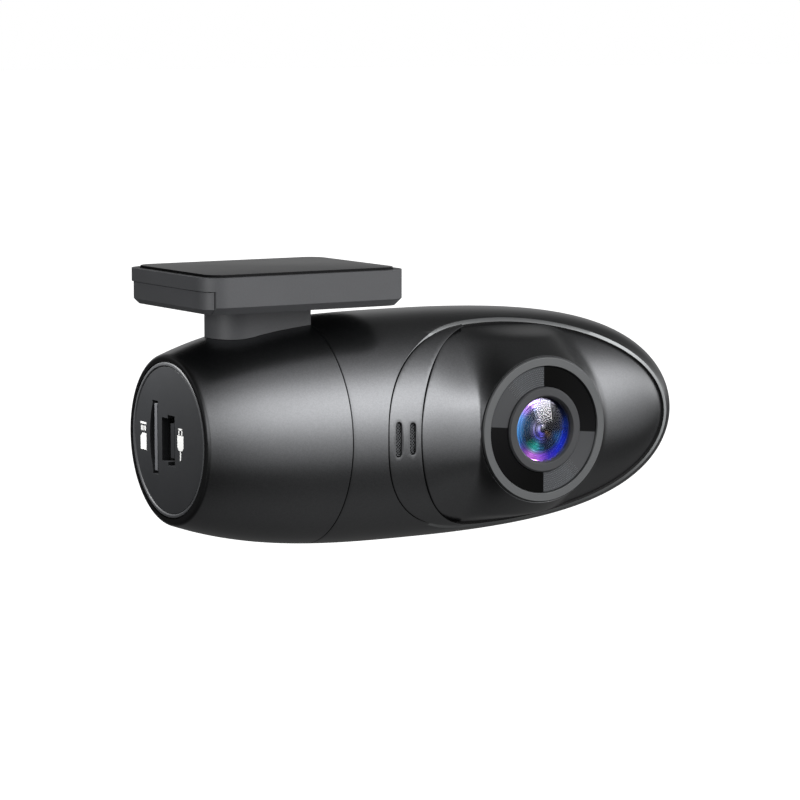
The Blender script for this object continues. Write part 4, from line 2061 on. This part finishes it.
@dataclass
class Studio:
    """Pale floor, soft wrap of light from the front, lamps for single pieces, and the camera.

    Attributes:
        camera, aim: places in metres of the row frame.
        focal_length: in millimetres.
        floor_drop: of the floor under the lowest point, in metres.
        floor_reach: half the floor's width in metres.
        peak: strength of the wrap at its brightest.
        nose_wrap: how far the wrap's band turns with the nose.
    """

    camera: tuple[float, float, float] = (-0.24224, -0.43802, 0.03902)
    aim: tuple[float, float, float] = (0.02703, 0.00237, -0.02407)
    focal_length: float = 138.2
    floor_drop: float = 0.02
    floor_reach: float = 6.0
    peak: float = 3.2
    nose_wrap: float = 0.9

    def build(self) -> None:
        """Sets the whole studio up."""
        self.build_camera()
        self.build_floor()
        self.build_world()
        self.build_lights()
        bpy.context.scene.view_settings.view_transform = "Standard"

    def build_camera(self) -> None:
        """Long lens, level horizon."""
        data = bpy.data.cameras.new("camera")
        data.lens, data.sensor_width, data.clip_start = self.focal_length, 36.0, 0.01
        camera = bpy.data.objects.new("camera", data)
        bpy.context.scene.collection.objects.link(camera)
        camera.location = self.camera
        camera.rotation_mode = "QUATERNION"
        camera.rotation_quaternion = (Vector(self.aim) - Vector(self.camera)).to_track_quat("-Z", "Y")
        bpy.context.scene.camera = camera

    def build_floor(self) -> None:
        """A wide pale floor under the camera's lowest point; it lights nothing itself."""
        low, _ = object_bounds()
        mesh = bpy.data.meshes.new("floor")
        reach, height = self.floor_reach, low.z - self.floor_drop
        sides = ((-reach, -reach), (reach, -reach), (reach, reach), (-reach, reach))
        mesh.from_pydata([(x, y, height) for x, y in sides], [], [(0, 1, 2, 3)])
        floor = bpy.data.objects.new("floor", mesh)
        bpy.context.scene.collection.objects.link(floor)
        material, _, shader = new_material("floor_pale_paper")
        shader.inputs["Base Color"].default_value = linear("#f4f4f4")
        shader.inputs["Roughness"].default_value = 0.9
        shader.inputs["Specular IOR Level"].default_value = 0.1
        shader.inputs["Emission Color"].default_value = linear("#ffffff")
        shader.inputs["Emission Strength"].default_value = 0.8
        mesh.materials.append(material)
        floor.visible_glossy = floor.visible_diffuse = floor.visible_transmission = False
        floor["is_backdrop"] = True

    def build_world(self) -> None:
        """White to the camera; to the object a soft wrap above the horizon that fades overhead."""
        world = bpy.data.worlds.new("soft_wrap")
        bpy.context.scene.world = world
        world.use_nodes = True
        tree = world.node_tree
        tree.nodes.clear()
        way = add_node(tree, "ShaderNodeTexCoord").outputs["Generated"]
        spot = add_node(tree, "ShaderNodeSeparateXYZ", {0: way})
        past = add_node(tree, MATH, {0: spot.outputs[0], 1: 0.5}, operation="SUBTRACT").outputs[0]
        beyond = add_node(tree, MATH, {0: past, 1: 0.0}, operation="MAXIMUM").outputs[0]
        wrapped = add_node(tree, MATH, {0: beyond, 1: self.nose_wrap}, operation="MULTIPLY").outputs[0]
        ahead = add_node(tree, MATH, {0: wrapped, 1: spot.outputs[1]}, operation="SUBTRACT").outputs[0]
        angle = add_node(tree, MATH, {0: spot.outputs[2], 1: ahead}, operation="ARCTAN2").outputs[0]
        turn = add_node(tree, MATH, {0: angle, 1: 2 * math.pi}, operation="DIVIDE").outputs[0]
        round_share = add_node(tree, MATH, {0: turn, 1: 0.5}, operation="ADD").outputs[0]
        shifted = add_node(tree, MATH, {0: spot.outputs[0], 1: 1.0}, operation="ADD").outputs[0]
        along_share = add_node(tree, MATH, {0: shifted, 1: 0.5}, operation="MULTIPLY").outputs[0]
        band = add_node(tree, COLOUR_RAMP, {0: round_share}, ROUND_LIGHT).outputs[0]
        reach = add_node(tree, COLOUR_RAMP, {0: along_share}, ALONG_LIGHT).outputs[0]
        both = add_node(tree, VECTOR_MATH, {0: band, 1: reach}, operation="MULTIPLY").outputs[0]
        soft = add_node(tree, "ShaderNodeBackground", {0: both, 1: self.peak})
        white = add_node(tree, "ShaderNodeBackground", {0: (1, 1, 1, 1), 1: 1.0})
        rays = add_node(tree, "ShaderNodeLightPath")
        mixed = add_node(tree, "ShaderNodeMixShader", {0: rays.outputs["Is Camera Ray"], 1: soft.outputs[0],
                                                       2: white.outputs[0]})
        add_node(tree, "ShaderNodeOutputWorld", {0: mixed.outputs[0]})

    def build_lights(self) -> None:
        """Lamps that each light only the pieces they are for."""
        for lamp in LAMPS:
            light = lamp.build()
            if lamp.fades:
                self.fade(light)

    def fade(self, lamp: Piece) -> None:
        """Lets a lamp fade towards its lower edge, as a window over a sill does.

        Args:
            lamp: an area lamp.
        """
        lamp.data.use_nodes = True
        tree = lamp.data.node_tree
        tree.nodes.clear()
        place = add_node(tree, "ShaderNodeNewGeometry").outputs["Parametric"]
        spot = add_node(tree, "ShaderNodeSeparateXYZ", {0: place})
        strength = add_node(tree, "ShaderNodeMapRange", {
            "Value": spot.outputs[1], "To Min": 0.05, "To Max": 1.6,
        })
        shine = add_node(tree, "ShaderNodeEmission", {1: strength.outputs[0]})
        add_node(tree, "ShaderNodeOutputLight", {0: shine.outputs[0]})

# Share of the light round the hull's axis: (degrees above the front horizon, share)
ROUND_ANGLES = (
    (-180, 0.05), (-128, 0.03), (-107, 0.035), (-90, 0.045), (-70, 0.05), (-50, 0.035), (-38, 0.03),
    (-30, 0.06), (-20, 0.16), (-8, 0.27), (2, 0.42), (12, 0.70), (22, 0.95), (32, 1.0), (40, 0.92),
    (50, 0.6), (60, 0.27), (72, 0.13), (84, 0.07), (98, 0.032), (112, 0.024), (130, 0.02), (142, 0.04),
    (152, 0.10), (166, 0.16), (180, 0.10),
)
ROUND_LIGHT = tuple(((angle + 180) / 360, share) for angle, share in ROUND_ANGLES)
# Share of the light by how far along the hull it comes from, from the port side (0) to the nose side (1)
ALONG_LIGHT = (
    (0.0, 0.35), (0.30, 0.15), (0.42, 0.32), (0.52, 0.82), (0.66, 0.97), (0.76, 1.0), (0.92, 0.75),
    (1.0, 0.42),
)


def main() -> None:
    """Builds and dresses the camera, and then the studio round it."""
    logging.basicConfig(level=logging.INFO, format="%(message)s")
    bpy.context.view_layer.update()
    hull = Hull.from_frame()
    hull.build_barrel()
    head = Head(hull)
    head.build_shell()
    head.build_strip()
    head.build_cover()
    head.build_mesh()
    lens = Lens.from_frame()
    lens.build_ring()
    lens.build_disc()
    lens.build_ribs()
    lens.build_bezel()
    lens.build_glass()
    lens.build_stack()
    PortEnd().build_prints()
    dress_nodes()
    Pad().build()
    Studio().build()


if __name__ == "__main__":
    main()
